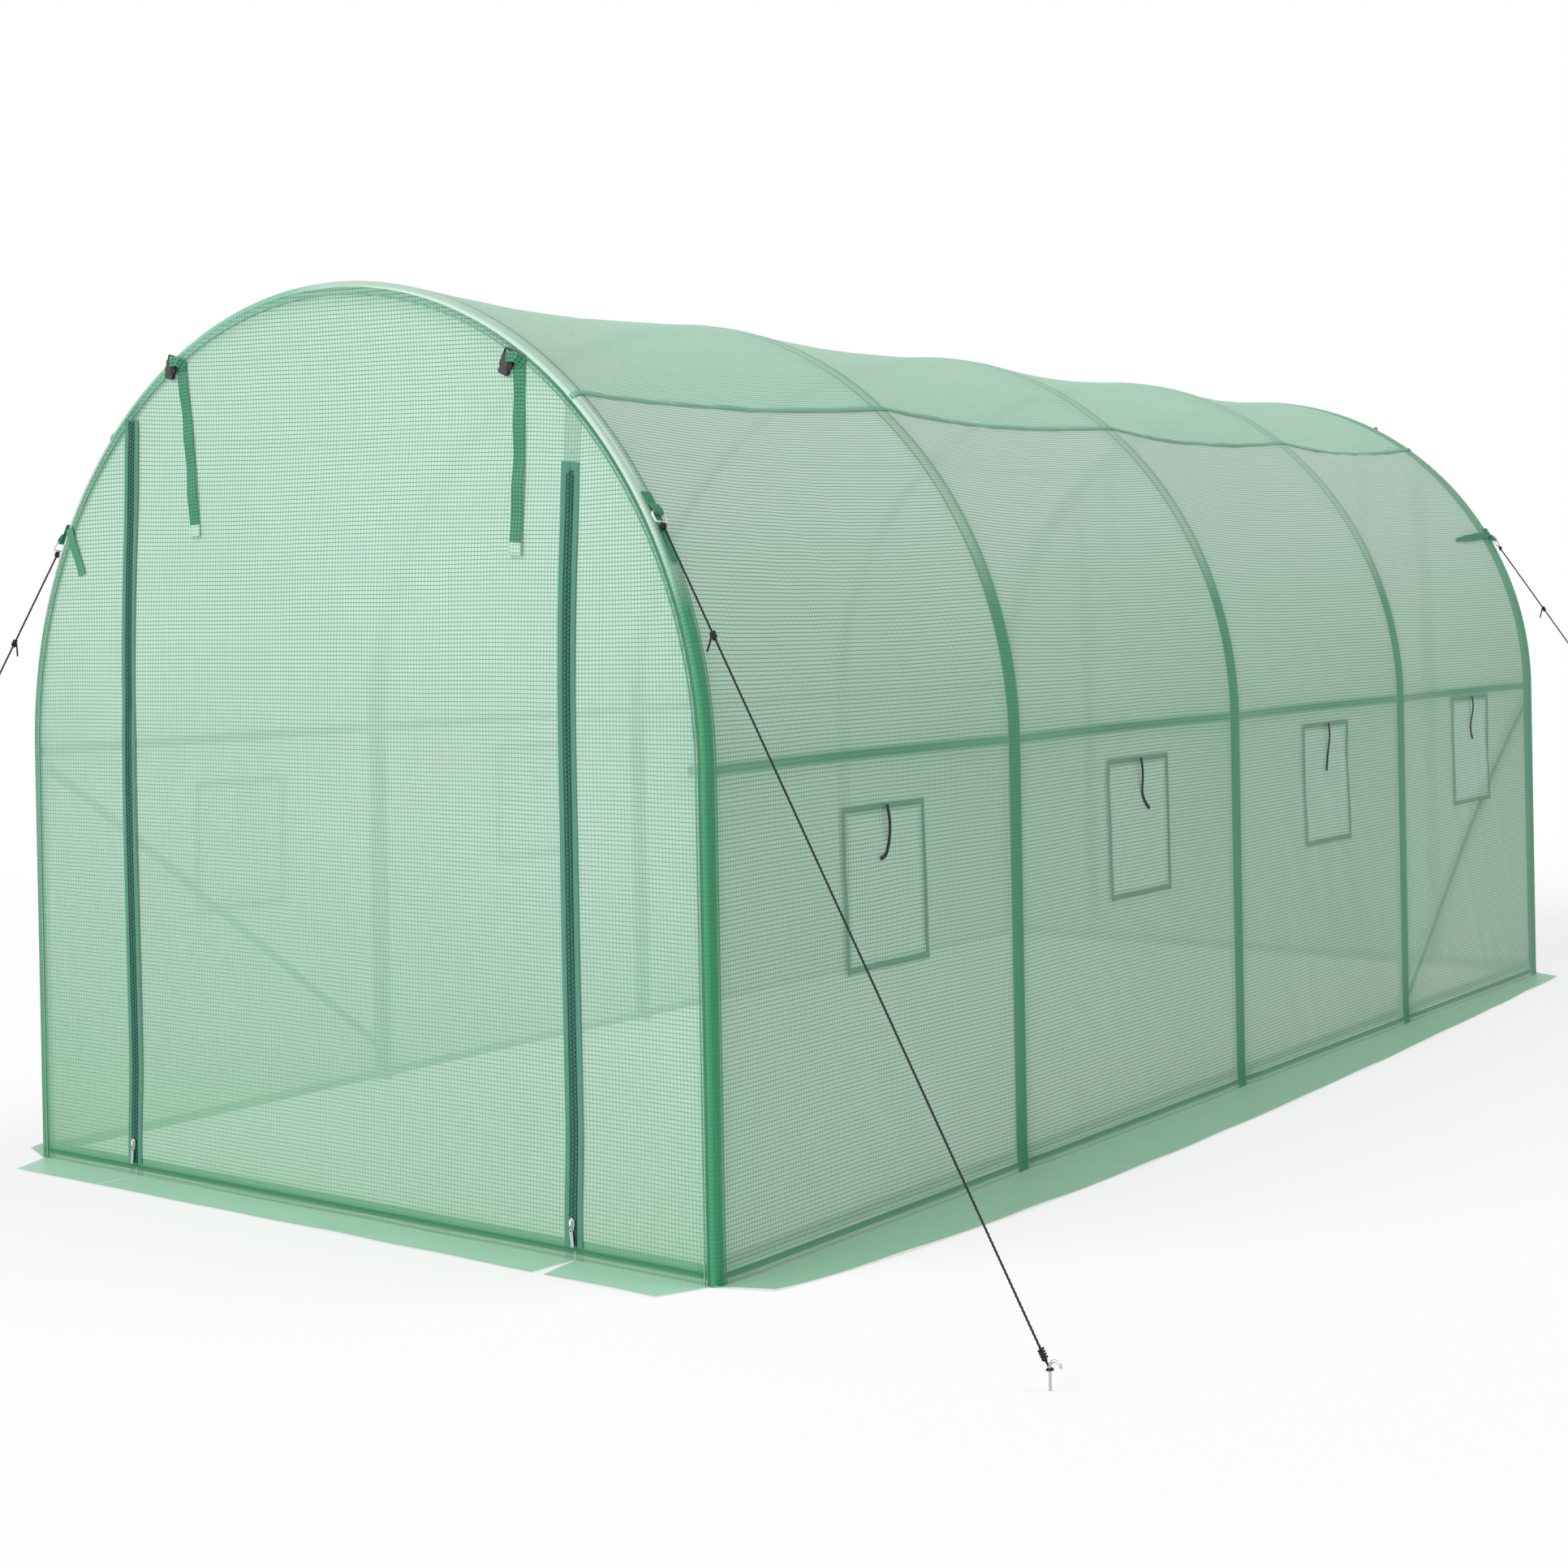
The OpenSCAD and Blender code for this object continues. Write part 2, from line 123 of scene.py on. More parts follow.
class Graph:
    """The node tree of a material or a world, with short ways to add nodes to it."""

    def __init__(self, owner: Union[Material, bpy.types.World]) -> None:
        """Empties the owner's node tree.

        Args:
            owner: What the node tree belongs to.
        """
        owner.use_nodes = True
        self.owner = owner
        self.tree = owner.node_tree
        self.tree.nodes.clear()

    @classmethod
    def material(cls, name: str) -> "Graph":
        """Starts a new material of that name."""
        return cls(bpy.data.materials.new(name))

    def node(self, kind: str, settings: Optional[dict] = None,
             inputs: Optional[dict] = None) -> bpy.types.Node:
        """Adds one node.

        Args:
            kind: Blender's name of the node type.
            settings: Properties, set before the sockets.
            inputs: Values, fields or sockets by socket name or number.

        Returns:
            The new node.
        """
        made = self.tree.nodes.new(kind)
        for key, value in (settings or {}).items():
            setattr(made, key, value)
        for key, value in (inputs or {}).items():
            socket = made.inputs[key]
            if isinstance(value, Field):
                value = value.socket
            if isinstance(value, Socket):
                self.tree.links.new(value, socket)
            elif socket.type == "RGBA":
                socket.default_value = (*value[:3], 1.0)
            else:
                socket.default_value = value
        return made

    def math(self, operation: str, *values: Value, clamp: bool = False) -> Field:
        """Adds a Math node on its values and returns its result."""
        settings = {"operation": operation, "use_clamp": clamp}
        return Field(self, self.node("ShaderNodeMath", settings, dict(enumerate(values))).outputs[0])

    def vector(self, operation: str, *values: Union[Socket, Colour]) -> bpy.types.Node:
        """Adds a Vector Math node on its values."""
        return self.node("ShaderNodeVectorMath", {"operation": operation}, dict(enumerate(values)))

    def place(self) -> tuple[Field, Field]:
        """The two map coordinates of a piece, in metres along and across it."""
        uv = self.node("ShaderNodeUVMap")
        parts = self.node("ShaderNodeSeparateXYZ", inputs={0: uv.outputs[0]})
        return Field(self, parts.outputs[0]), Field(self, parts.outputs[1])

    def object_point(self) -> Socket:
        """The point in the tunnel's frame, as a vector socket."""
        return self.node("ShaderNodeTexCoord").outputs["Object"]

    def grain(self, scale: float, detail: float = 3.0, stretch: Colour = (1.0, 1.0, 1.0)) -> Field:
        """Smooth noise over the piece.

        Args:
            scale: Patches to a metre.
            detail: Octaves of finer noise.
            stretch: Scale along each axis.

        Returns:
            A value about 0.5.
        """
        sized = self.vector("MULTIPLY", self.object_point(), stretch).outputs[0]
        made = self.node("ShaderNodeTexNoise", inputs={"Vector": sized, "Scale": scale, "Detail": detail})
        return Field(self, made.outputs[0])

    def stripes(self, coordinate: Field, pitch: float, width: float, soft: float) -> Field:
        """Lines that repeat along a coordinate: 1 on a line, 0 between lines."""
        away = self.math("PINGPONG", coordinate, pitch / 2)
        return ((width / 2 - away) * (1 / soft) + 0.5).clamp()

    def net(self, along: Field, across: Field, pitch: float, width: float, soft: float) -> Field:
        """Lines that repeat both ways: 1 on a line, 0 in the holes."""
        rungs = self.stripes(along, pitch, width, soft)
        return rungs.highest(self.stripes(across, pitch, width, soft))

    def band(self, coordinate: Field, at: float, width: float, soft: float) -> Field:
        """One line at a place of a coordinate: 1 on the line, 0 beside it."""
        return ((width / 2 - abs(coordinate - at)) * (1 / soft) + 0.5).clamp()

    def mix(self, share: Value, first: Union[Field, Colour], second: Union[Field, Colour]) -> Field:
        """A colour between two colours."""
        made = self.node("ShaderNodeMix", {"data_type": "RGBA"}, {0: share, 6: first, 7: second})
        return Field(self, made.outputs[2])

    def bump(self, height: Field, distance: float, strength: float = 1.0) -> Socket:
        """A normal pushed about by a height in metres."""
        inputs = {"Height": height, "Distance": distance, "Strength": strength}
        return self.node("ShaderNodeBump", inputs=inputs).outputs[0]

    def principled(self, **inputs: object) -> Socket:
        """A Principled shader; an underscore in a name stands for a space."""
        named = {key.replace("_", " "): value for key, value in inputs.items()}
        return self.node("ShaderNodeBsdfPrincipled", inputs=named).outputs[0]

    def clear(self) -> Socket:
        """A shader that lets light straight through."""
        return self.node("ShaderNodeBsdfTransparent").outputs[0]

    def seen(self) -> Field:
        """1 on a ray from the camera, also by way of gloss or glass, and 0 on any other."""
        path, kinds = self.node("ShaderNodeLightPath").outputs, ("Camera", "Glossy", "Transmission")
        straight, gloss, glass = (Field(self, path[f"Is {kind} Ray"]) for kind in kinds)
        return straight.highest(gloss).highest(glass)

    def blend(self, share: Value, first: Socket, second: Socket) -> Socket:
        """A mix of two shaders."""
        return self.node("ShaderNodeMixShader", inputs={0: share, 1: first, 2: second}).outputs[0]

    def done(self, shader: Socket) -> Union[Material, bpy.types.World]:
        """Sends a shader to the surface and returns what carries it."""
        kind = "World" if isinstance(self.owner, bpy.types.World) else "Material"
        self.node(f"ShaderNodeOutput{kind}", inputs={"Surface": shader})
        return self.owner


@dataclass(frozen=True)
class PaintedSteel:
    """Green powder coat on the frame's tubes."""

    colour: Colour = (0.030, 0.165, 0.085)
    pale: Colour = (0.060, 0.245, 0.140)
    worn: Colour = (0.16, 0.36, 0.25)
    worn_from: float = 0.62
    roughness: float = 0.38
    peel_depth: float = 0.00008

    def make(self) -> Material:
        """Builds the material.

        Returns:
            The material.
        """
        g = Graph.material("painted_steel")
        cloud, peel = g.grain(14.0), g.grain(900.0, 1.0)
        scuff = ((g.grain(60.0, 4.0, (1.0, 0.3, 1.0)) - self.worn_from) * 6.0).clamp()
        colour = g.mix(cloud, self.colour, self.pale)
        return g.done(g.principled(
            Base_Color=g.mix(scuff * 0.5, colour, self.worn),
            Roughness=self.roughness + scuff * 0.25 + peel * 0.06,
            Normal=g.bump(peel, self.peel_depth)))


class BandAxis(Enum):
    """What a band on a film is measured along."""

    ALONG = "along"
    AROUND = "around"
    RIM = "rim"


class BandKind(Enum):
    """What a band on a film is: doubled film, film on a tube whose dark line is the tube showing through with
    painted shade, or a sleeve whose pale gloss is a painted highlight.
    """

    SEWN = "sewn"
    # The tube showing through the film, darkened with painted shade.
    TUBE_WITH_SHADE = "tube"
    # A pale sleeve over a hoop: a painted highlight.
    SLEEVE_HIGHLIGHT = "sleeve"


@dataclass(frozen=True)
class FilmBand:
    """A strip on a film: a hem, a pale sleeve that is a painted highlight, or the line of a tube with painted
    shade.

    A band with repeat comes again at that pitch. A band with fade goes from its strength at
    the first of those heights around the film to its faded share at the second. A band with
    slope climbs that much to a metre along the film, and a band with span lies between two
    places along it.
    """

    axis: BandAxis
    at: float
    width: float
    kind: BandKind = BandKind.SEWN
    strength: float = 1.0
    soft: float = 0.0015
    repeat: float = 0.0
    fade: Optional[Pair] = None
    faded: float = 0.0
    slope: float = 0.0
    span: Optional[Pair] = None


@dataclass(frozen=True)
class RipstopFilm:
    """Translucent green film with a woven grid of tapes laid in it.

    The film is darker and greener below its foot_fade heights, as painted shade, and where it has
    haze, it lets less show through above those heights.
    """

    name: str
    bands: tuple[FilmBand, ...] = ()
    rim_radius: float = 1.0
    rim_height: float = 0.96
    pitch: float = 0.0085
    tape: float = 0.0021
    tape_soft: float = 0.0009
    tape_rise: float = 0.0003
    span_soft: float = 0.01
    pane: Colour = (0.56, 0.865, 0.685)
    milk: Colour = (0.66, 0.88, 0.76)
    milkiness: float = 0.45
    # Painted shade: the film turns to this darker, greener colour towards its foot.
    foot: Colour = (0.288, 0.637, 0.380)
    foot_fade: Pair = (0.86, 1.50)
    strand: Colour = (0.115, 0.295, 0.190)
    sewn: Colour = (0.065, 0.225, 0.130)
    # Colour of the tube lines: the tube showing through the film, darkened with painted shade.
    pressed: Colour = (0.019, 0.232, 0.103)
    # Painted highlight: the pale sheen on the sleeve over a hoop.
    sleeve: Colour = (0.46, 0.64, 0.54)
    daylight: Colour = (1.0, 0.96, 0.98)
    glow: float = 0.4
    shine: float = 0.25
    gloss_roughness: float = 0.12
    strand_dark: float = 0.6
    sewn_dark: float = 0.6
    # For tube lines this cut of the light from behind is painted shade.
    pressed_shade: float = 1.0
    # For sleeves this cut of the light from behind is part of the painted highlight.
    sleeve_highlight_dark: float = 0.5
    pane_clear: float = 0.10
    strand_clear: float = 0.02
    haze: Optional[Pair] = None
    haze_clear: float = 0.30

    def band_mask(self, g: Graph, item: FilmBand, along: Field, around: Field) -> Field:
        """Strength of one band at each point of the film.

        Args:
            g: The film's graph.
            item: The band.
            along: Map coordinate along the film.
            around: Map coordinate around it.

        Returns:
            A value from 0 to 1.
        """
        if item.axis is BandAxis.RIM:
            rise = (around - self.rim_height).highest(0.0)
            place = self.rim_radius - g.math("SQRT", along * along + rise * rise)
        else:
            place = along if item.axis is BandAxis.ALONG else around
        if item.slope:
            place = place - along * item.slope
        if item.repeat:
            mask = g.stripes(place - item.at, item.repeat, item.width, item.soft)
        else:
            mask = g.band(place, item.at, item.width, item.soft)
        mask = mask * item.strength
        if item.fade:
            mask = mask * (1.0 - around.ramp(*item.fade) * (1.0 - item.faded))
        if item.span:
            low, high = item.span
            mask = mask * g.band(along, (low + high) / 2, high - low, self.span_soft)
        return mask

    def band_masks(self, g: Graph, along: Field, around: Field) -> dict[BandKind, Field]:
        """Strength of the film's bands together.

        Args:
            g: The film's graph.
            along: Map coordinate along the film.
            around: Map coordinate around it.

        Returns:
            A value from 0 to 1 for each kind of band that the film has.
        """
        found: dict[BandKind, Field] = {}
        for item in self.bands:
            mask = self.band_mask(g, item, along, around)
            found[item.kind] = found[item.kind].highest(mask) if item.kind in found else mask
        return found

    def make(self) -> Material:
        """Builds the material.

        Returns:
            The material.
        """
        g = Graph.material(self.name)
        along, around = g.place()
        cloud = g.grain(2.6, 2.0)
        across = g.stripes(around + cloud * 0.008, self.pitch, self.tape, self.tape_soft)
        upright = g.stripes(along + cloud * 0.006, self.pitch, self.tape * 0.8, self.tape_soft)
        tape = across.highest(upright)
        milk = ((g.grain(1.1, 2.0) - 0.40) * 3.0).clamp() * self.milkiness
        # Painted shade: darker, greener film towards the bottom.
        foot = 1.0 - around.ramp(*self.foot_fade)
        pane = g.mix(foot, g.mix(milk, self.pane, self.milk), self.foot)
        colour, dark = g.mix(tape, pane, self.strand), tape * self.strand_dark
        clear = self.pane_clear - tape * (self.pane_clear - self.strand_clear) - (cloud - 0.5) * 0.08
        if self.haze:
            clear = clear * (1.0 - around.ramp(*self.haze) * (1.0 - self.haze_clear))
        masks = self.band_masks(g, along, around)
        # Tube bands darken the film with painted shade over the tubes that show through; sleeve bands lighten
        # it with a painted highlight.
        tones = ((BandKind.SEWN, self.sewn, self.sewn_dark), (BandKind.TUBE_WITH_SHADE, self.pressed, self.pressed_shade),
                 (BandKind.SLEEVE_HIGHLIGHT, self.sleeve, self.sleeve_highlight_dark))
        for kind, tone, shade in tones:
            if kind in masks:
                colour = g.mix(masks[kind], colour, tone)
                dark = dark.highest(masks[kind] * shade)
                clear = clear * (1.0 - masks[kind])
        front = g.principled(
            Base_Color=colour, Roughness=0.30 + tape * 0.14 + cloud * 0.10, Specular_IOR_Level=self.shine,
            Coat_Weight=masks.get(BandKind.SLEEVE_HIGHLIGHT, 0.0), Coat_Roughness=self.gloss_roughness,
            Normal=g.bump(tape, self.tape_rise, 0.6))
        behind = g.node("ShaderNodeBsdfTranslucent", inputs={"Color": self.daylight}).outputs[0]
        film = g.blend((1.0 - dark) * self.glow, front, behind)
        return g.done(g.blend(clear.clamp(), film, g.clear()))


@dataclass(frozen=True)
class SkirtFilm:
    """The smoother, greener strip of film that lies on the ground."""

    name: str
    width: float
    colour: Colour = (0.165, 0.455, 0.262)
    pale: Colour = (0.245, 0.560, 0.350)
    strand: Colour = (0.10, 0.31, 0.19)
    edge: Colour = (0.40, 0.50, 0.44)
    edge_width: float = 0.010
    pitch: float = 0.0085
    tape: float = 0.002
    fold_depth: float = 0.002
    cover: float = 0.82

    def make(self) -> Material:
        """Builds the material.

        Returns:
            The material.
        """
        g = Graph.material(self.name)
        along, around = g.place()
        cloud, fold = g.grain(5.0, 3.0), g.grain(22.0, 2.0, (1.0, 1.0, 0.2))
        weave = g.net(along, around, self.pitch, self.tape, self.tape / 2)
        edge = g.band(around, -self.width, self.edge_width, 0.003)
        colour = g.mix(cloud, self.colour, self.pale)
        colour = g.mix(weave * 0.30, colour, self.strand)
        solid = g.principled(
            Base_Color=g.mix(edge * 0.7, colour, self.edge), Roughness=0.34 + cloud * 0.16,
            Normal=g.bump(fold + weave * 0.05, self.fold_depth, 0.5))
        shown = (self.cover + weave * 0.06 + (cloud - 0.5) * 0.1).clamp()
        return g.done(g.blend(shown, g.clear(), solid))


@dataclass(frozen=True)
class SeamTape:
    """Welded and stitched tape along the joins of the film."""

    colour: Colour = (0.075, 0.30, 0.185)
    stitch: Colour = (0.32, 0.58, 0.44)
    pitch: float = 0.006
    stitch_rise: float = 0.0003

    def make(self) -> Material:
        """Builds the material.

        Returns:
            The material.
        """
        g = Graph.material("seam_tape")
        along, _ = g.place()
        thread = g.stripes(along, self.pitch, self.pitch * 0.55, 0.0008)
        cloud = g.grain(30.0)
        return g.done(g.principled(
            Base_Color=g.mix(thread * 0.35 + cloud * 0.25, self.colour, self.stitch),
            Roughness=0.46 + cloud * 0.2, Normal=g.bump(thread, self.stitch_rise)))


@dataclass(frozen=True)
class InsectMesh:
    """Fine mesh sewn behind a window."""

    thread: Colour = (0.16, 0.30, 0.23)
    pale: Colour = (0.22, 0.38, 0.29)
    pitch: float = 0.0022
    cover: float = 0.35

    def make(self) -> Material:
        """Builds the material.

        Returns:
            The material.
        """
        g = Graph.material("insect_mesh")
        along, around = g.place()
        weft, warp = (g.stripes(way, self.pitch, self.pitch * 0.3, 0.0003) for way in (around, along))
        solid = g.principled(
            Base_Color=g.mix(g.grain(40.0), self.thread, self.pale), Roughness=0.55 + weft * 0.15)
        return g.done(g.blend(weft.highest(warp) * self.cover, g.clear(), solid))


@dataclass(frozen=True)
class Webbing:
    """Woven tape or webbing, ribbed across its width, with thin as the share that its gaps let through."""

    name: str
    colour: Colour
    pale: Colour
    rib: float = 0.0024
    rib_rise: float = 0.0004
    thin: float = 0.0

    def make(self) -> Material:
        """Builds the material.

        Returns:
            The material.
        """
        g = Graph.material(self.name)
        along, across = g.place()
        slant = g.stripes(along + abs(across) * 0.6, self.rib, self.rib * 0.45, self.rib * 0.2)
        cord = g.stripes(across, self.rib * 0.8, self.rib * 0.3, self.rib * 0.2)
        cloud = g.grain(38.0, 3.0)
        colour = g.mix(slant * 0.5 + cloud * 0.3, self.colour, self.pale)
        shader = g.principled(
            Base_Color=g.mix(cord * 0.35, colour, self.colour), Roughness=0.62 + slant * 0.15 + cloud * 0.1,
            Normal=g.bump(slant + cord * 0.6, self.rib_rise))
        if self.thin:
            shown = (1.0 - self.thin * (1.0 - slant.highest(cord))).clamp()
            shader = g.blend(shown, g.clear(), shader)
        return g.done(shader)


@dataclass(frozen=True)
class NetTape:
    """Stiff tape with a square net pressed into it."""

    name: str
    strand: Colour
    hole: Colour
    bar: float = 0.0040
    pitch: float = 0.0078
    bar_rise: float = 0.0006
    shade: float = 0.7

    def make(self) -> Material:
        """Builds the material.

        Returns:
            The material.
        """
        g = Graph.material(self.name)
        net, cloud = g.net(*g.place(), self.pitch, self.bar, 0.0012), g.grain(38.0, 3.0)
        strand = g.mix(cloud * 0.5, self.strand, tuple(c * self.shade for c in self.strand))
        return g.done(g.principled(
            Base_Color=g.mix(net, self.hole, strand), Roughness=0.42 + cloud * 0.2,
            Normal=g.bump(net, self.bar_rise)))


@dataclass(frozen=True)
class Moulded:
    """Injection-moulded plastic with a fine spark texture."""

    name: str
    colour: Colour
    pale: Colour
    roughness: float = 0.42
    spark_depth: float = 0.00006

    def make(self) -> Material:
        """Builds the material.

        Returns:
            The material.
        """
        g = Graph.material(self.name)
        spark, cloud = g.grain(2400.0, 1.0), g.grain(60.0)
        return g.done(g.principled(
            Base_Color=g.mix(cloud * 0.6, self.colour, self.pale),
            Roughness=self.roughness + spark * 0.14, Normal=g.bump(spark, self.spark_depth)))


@dataclass(frozen=True)
class PlatedMetal:
    """Zinc plate with the faint clouding of small hardware."""

    colour: Colour = (0.62, 0.63, 0.63)
    dull: Colour = (0.42, 0.43, 0.43)
    grit_depth: float = 0.00004

    def make(self) -> Material:
        """Builds the material.

        Returns:
            The material.
        """
        g = Graph.material("plated_metal")
        cloud, grit = g.grain(140.0, 4.0), g.grain(1500.0, 2.0)
        return g.done(g.principled(
            Base_Color=g.mix(cloud, self.colour, self.dull), Metallic=1.0,
            Roughness=0.24 + cloud * 0.25, Normal=g.bump(grit, self.grit_depth)))


@dataclass(frozen=True)
class LaidRope:
    """Dark polypropylene rope."""

    colour: Colour = (0.004, 0.007, 0.006)
    pale: Colour = (0.018, 0.030, 0.024)
    fibre: float = 0.0012
    fibre_rise: float = 0.0002

    def make(self) -> Material:
        """Builds the material.

        Returns:
            The material.
        """
        g = Graph.material("laid_rope")
        along, across = g.place()
        fibre = g.stripes(along * 3.0 + across * 2.0, self.fibre, 0.0005, 0.0003)
        cloud = g.grain(70.0)
        return g.done(g.principled(
            Base_Color=g.mix(fibre * 0.5 + cloud * 0.3, self.colour, self.pale),
            Roughness=0.6 + fibre * 0.2, Normal=g.bump(fibre, self.fibre_rise)))


@dataclass(frozen=True)
class PaleFloor:
    """The studio floor, white to the camera away from the tunnel's shadow."""

    colour: Colour = (0.92, 0.92, 0.92)
    roughness: float = 0.9
    lift: float = 0.62
    near: float = 3.2
    far: float = 8.0

    def make(self) -> Material:
        """Builds the material.

        Returns:
            The material.
        """
        g = Graph.material("pale_floor")
        distance = Field(g, g.vector("LENGTH", g.object_point()).outputs["Value"])
        lifted = self.lift + distance.ramp(self.near, self.far) * (1.0 - self.lift)
        shade = g.principled(Base_Color=self.colour, Roughness=self.roughness)
        white = g.node("ShaderNodeEmission", inputs={"Color": WHITE}).outputs[0]
        return g.done(g.blend(g.seen() * lifted, shade, white))


class Shape:
    """Points and faces of one piece, gathered before its mesh is made."""

    def __init__(self, turn: Optional[Matrix] = None) -> None:
        """Starts empty; every added point goes through turn.

        Args:
            turn: Carries points into the tunnel's frame.
        """
        self.turn = turn or Matrix.Identity(4)
        self.points: list[Vector] = []
        self.faces: list[tuple[int, ...]] = []
        self.maps: list[list[Pair]] = []
        self.slots: list[int] = []

    def add_points(self, points: Sequence[Vector]) -> int:
        """Adds points and returns the number of the first."""
        first = len(self.points)
        self.points += [self.turn @ Vector(p) for p in points]
        return first

    def add_face(self, corners: Sequence[int], uvs: Sequence[Pair], slot: int = 0) -> None:
        """Adds one face.

        Args:
            corners: Numbers of its points.
            uvs: A map place for each corner.
            slot: Material slot.
        """
        self.faces.append(tuple(corners))
        self.maps.append(list(uvs))
        self.slots.append(slot)

    def flip(self) -> None:
        """Turns every face over, after a mirror."""
        self.faces = [face[::-1] for face in self.faces]
        self.maps = [uvs[::-1] for uvs in self.maps]

    def grid(self, rows: Sequence[Sequence[Vector]], maps: Sequence[Sequence[Pair]],
             slot_of: Callable[[int, int], Optional[int]] = lambda i, j: 0) -> None:
        """Adds a sheet of quads.

        Args:
            rows: Points, row by row.
            maps: A map place for each point.
            slot_of: Gives a cell's material slot, or None for a hole.
        """
        wide = len(rows[0])
        first = self.add_points([p for row in rows for p in row])
        for i in range(len(rows) - 1):
            for j in range(wide - 1):
                slot = slot_of(i, j)
                if slot is None:
                    continue
                cell = ((i, j), (i + 1, j), (i + 1, j + 1), (i, j + 1))
                self.add_face([first + a * wide + b for a, b in cell], [maps[a][b] for a, b in cell], slot)

    def sweep(self, path: Sequence[Vector], profile: Sequence[Pair], side: Union[Vector, Sequence[Vector]],
              slot: int = 0, closed: bool = False, twist: float = 0.0,
              taper: Optional[Callable[[float], float]] = None) -> None:
        """Adds a closed profile carried along a path.

        Args:
            path: Points to follow.
            profile: Places across the path, first along side and then square to it.
            side: About the direction of the profile's first axis, for all points or for each.
            slot: Material slot.
            closed: True if the path ends where it starts.
            twist: Turns of the profile to a metre.
            taper: Gives the profile's scale at a share of the path.
        """
        count, wide, run = len(path), len(profile), 0.0
        lengths, rings = [], []
        for i, point in enumerate(path):
            before = path[i - 1] if i or closed else point
            after = path[(i + 1) % count] if i < count - 1 or closed else point
            if i:
                run += (point - path[i - 1]).length
            lengths.append(run)
            along = (after - before).normalized()
            aim = side if isinstance(side, Vector) else side[i]
            first = (aim - along * along.dot(aim)).normalized()
            second = along.cross(first)
            spin, size = 2 * math.pi * twist * run, taper(i / (count - 1)) if taper else 1.0
            c, s = math.cos(spin) * size, math.sin(spin) * size
            rings.append([point + first * (a * c - b * s) + second * (a * s + b * c) for a, b in profile])
        start = self.add_points([p for ring in rings for p in ring])
        across = [0.0]
        for a, b in zip(profile, [*profile[1:], profile[0]]):
            across.append(across[-1] + math.dist(a, b))
        middle = across[-1] / 4
        for i in range(count if closed else count - 1):
            k = (i + 1) % count
            end = lengths[k] if k else run + (path[0] - path[-1]).length
            for j in range(wide):
                m = (j + 1) % wide
                corners = (i * wide + j, k * wide + j, k * wide + m, i * wide + m)
                low, high = across[j] - middle, across[j + 1] - middle
                self.add_face([start + c for c in corners],
                              [(lengths[i], low), (end, low), (end, high), (lengths[i], high)], slot)
        if not closed:
            for ring, order in ((0, 1), (count - 1, -1)):
                corners = [start + ring * wide + j for j in range(wide)][::-order]
                self.add_face(corners, list(profile)[::-order], slot)

    def plate(self, outline: Sequence[Pair], thickness: float, bevel: float, place: Matrix, slot: int = 0,
              hole: Optional[Sequence[Pair]] = None) -> None:
        """Adds a flat plate with eased edges.

        Args:
            outline: Its corners, anticlockwise.
            thickness: Its thickness along the place's third axis.
            bevel: Width of the eased edge.
            place: Where it lies.
            slot: Material slot.
            hole: A hole with as many corners as the outline.
        """
        levels = ((0.0, bevel), (bevel, 0.0), (thickness - bevel, 0.0), (thickness, bevel))
        loops = []
        for line, inward in ((outline, 1.0), *(((hole, -1.0),) if hole else ())):
            for height, inset in levels:
                loops.append([place @ Vector((a, b, height)) for a, b in offset(line, inset * inward)])
        wide, tall = len(outline), len(levels)
        start = self.add_points([p for loop in loops for p in loop])
        flat = [*outline, *(hole or ())]

        def corner(loop: int, j: int) -> int:
            """Number of a loop's corner."""
            return start + loop * wide + j % wide

        for part in range(2 if hole else 1):
            for level in range(tall - 1):
                low = part * tall + level
                for j in range(wide):
                    ring = [corner(low, j), corner(low, j + 1), corner(low + 1, j + 1), corner(low + 1, j)]
                    spots = [flat[part * wide + (j + step) % wide] for step in (0, 1, 1, 0)]
                    self.add_face(ring[::-1] if part else ring, spots, slot)
        if not hole:
            self.add_face([corner(0, j) for j in range(wide)][::-1], list(outline)[::-1], slot)
            self.add_face([corner(tall - 1, j) for j in range(wide)], list(outline), slot)
            return
        for level, order in ((0, -1), (tall - 1, 1)):
            inner = tall + level
            for j in range(wide):
                ring = [corner(level, j), corner(level, j + 1), corner(inner, j + 1), corner(inner, j)]
                spots = [flat[j], flat[(j + 1) % wide], flat[wide + (j + 1) % wide], flat[wide + j]]
                self.add_face(ring[::order], spots[::order], slot)

    def build(self, name: str, materials: Sequence[Material], sharp: float = 40.0) -> bpy.types.Object:
        """Makes the object.

        Args:
            name: Name of the piece.
            materials: Its material slots, in order.
            sharp: Angle in degrees above which an edge stays sharp.

        Returns:
            The new object, linked to the scene.
        """
        mesh = bpy.data.meshes.new(name)
        mesh.from_pydata([tuple(p) for p in self.points], [], self.faces)
        layer = mesh.uv_layers.new(name="map")
        layer.data.foreach_set("uv", [x for face in self.maps for uv in face for x in uv])
        for material in materials:
            mesh.materials.append(material)
        mesh.polygons.foreach_set("material_index", self.slots)
        mesh.validate()
        mesh.shade_smooth()
        mesh.set_sharp_from_angle(angle=math.radians(sharp))
        piece = bpy.data.objects.new(name, mesh)
        bpy.context.scene.collection.objects.link(piece)
        return piece


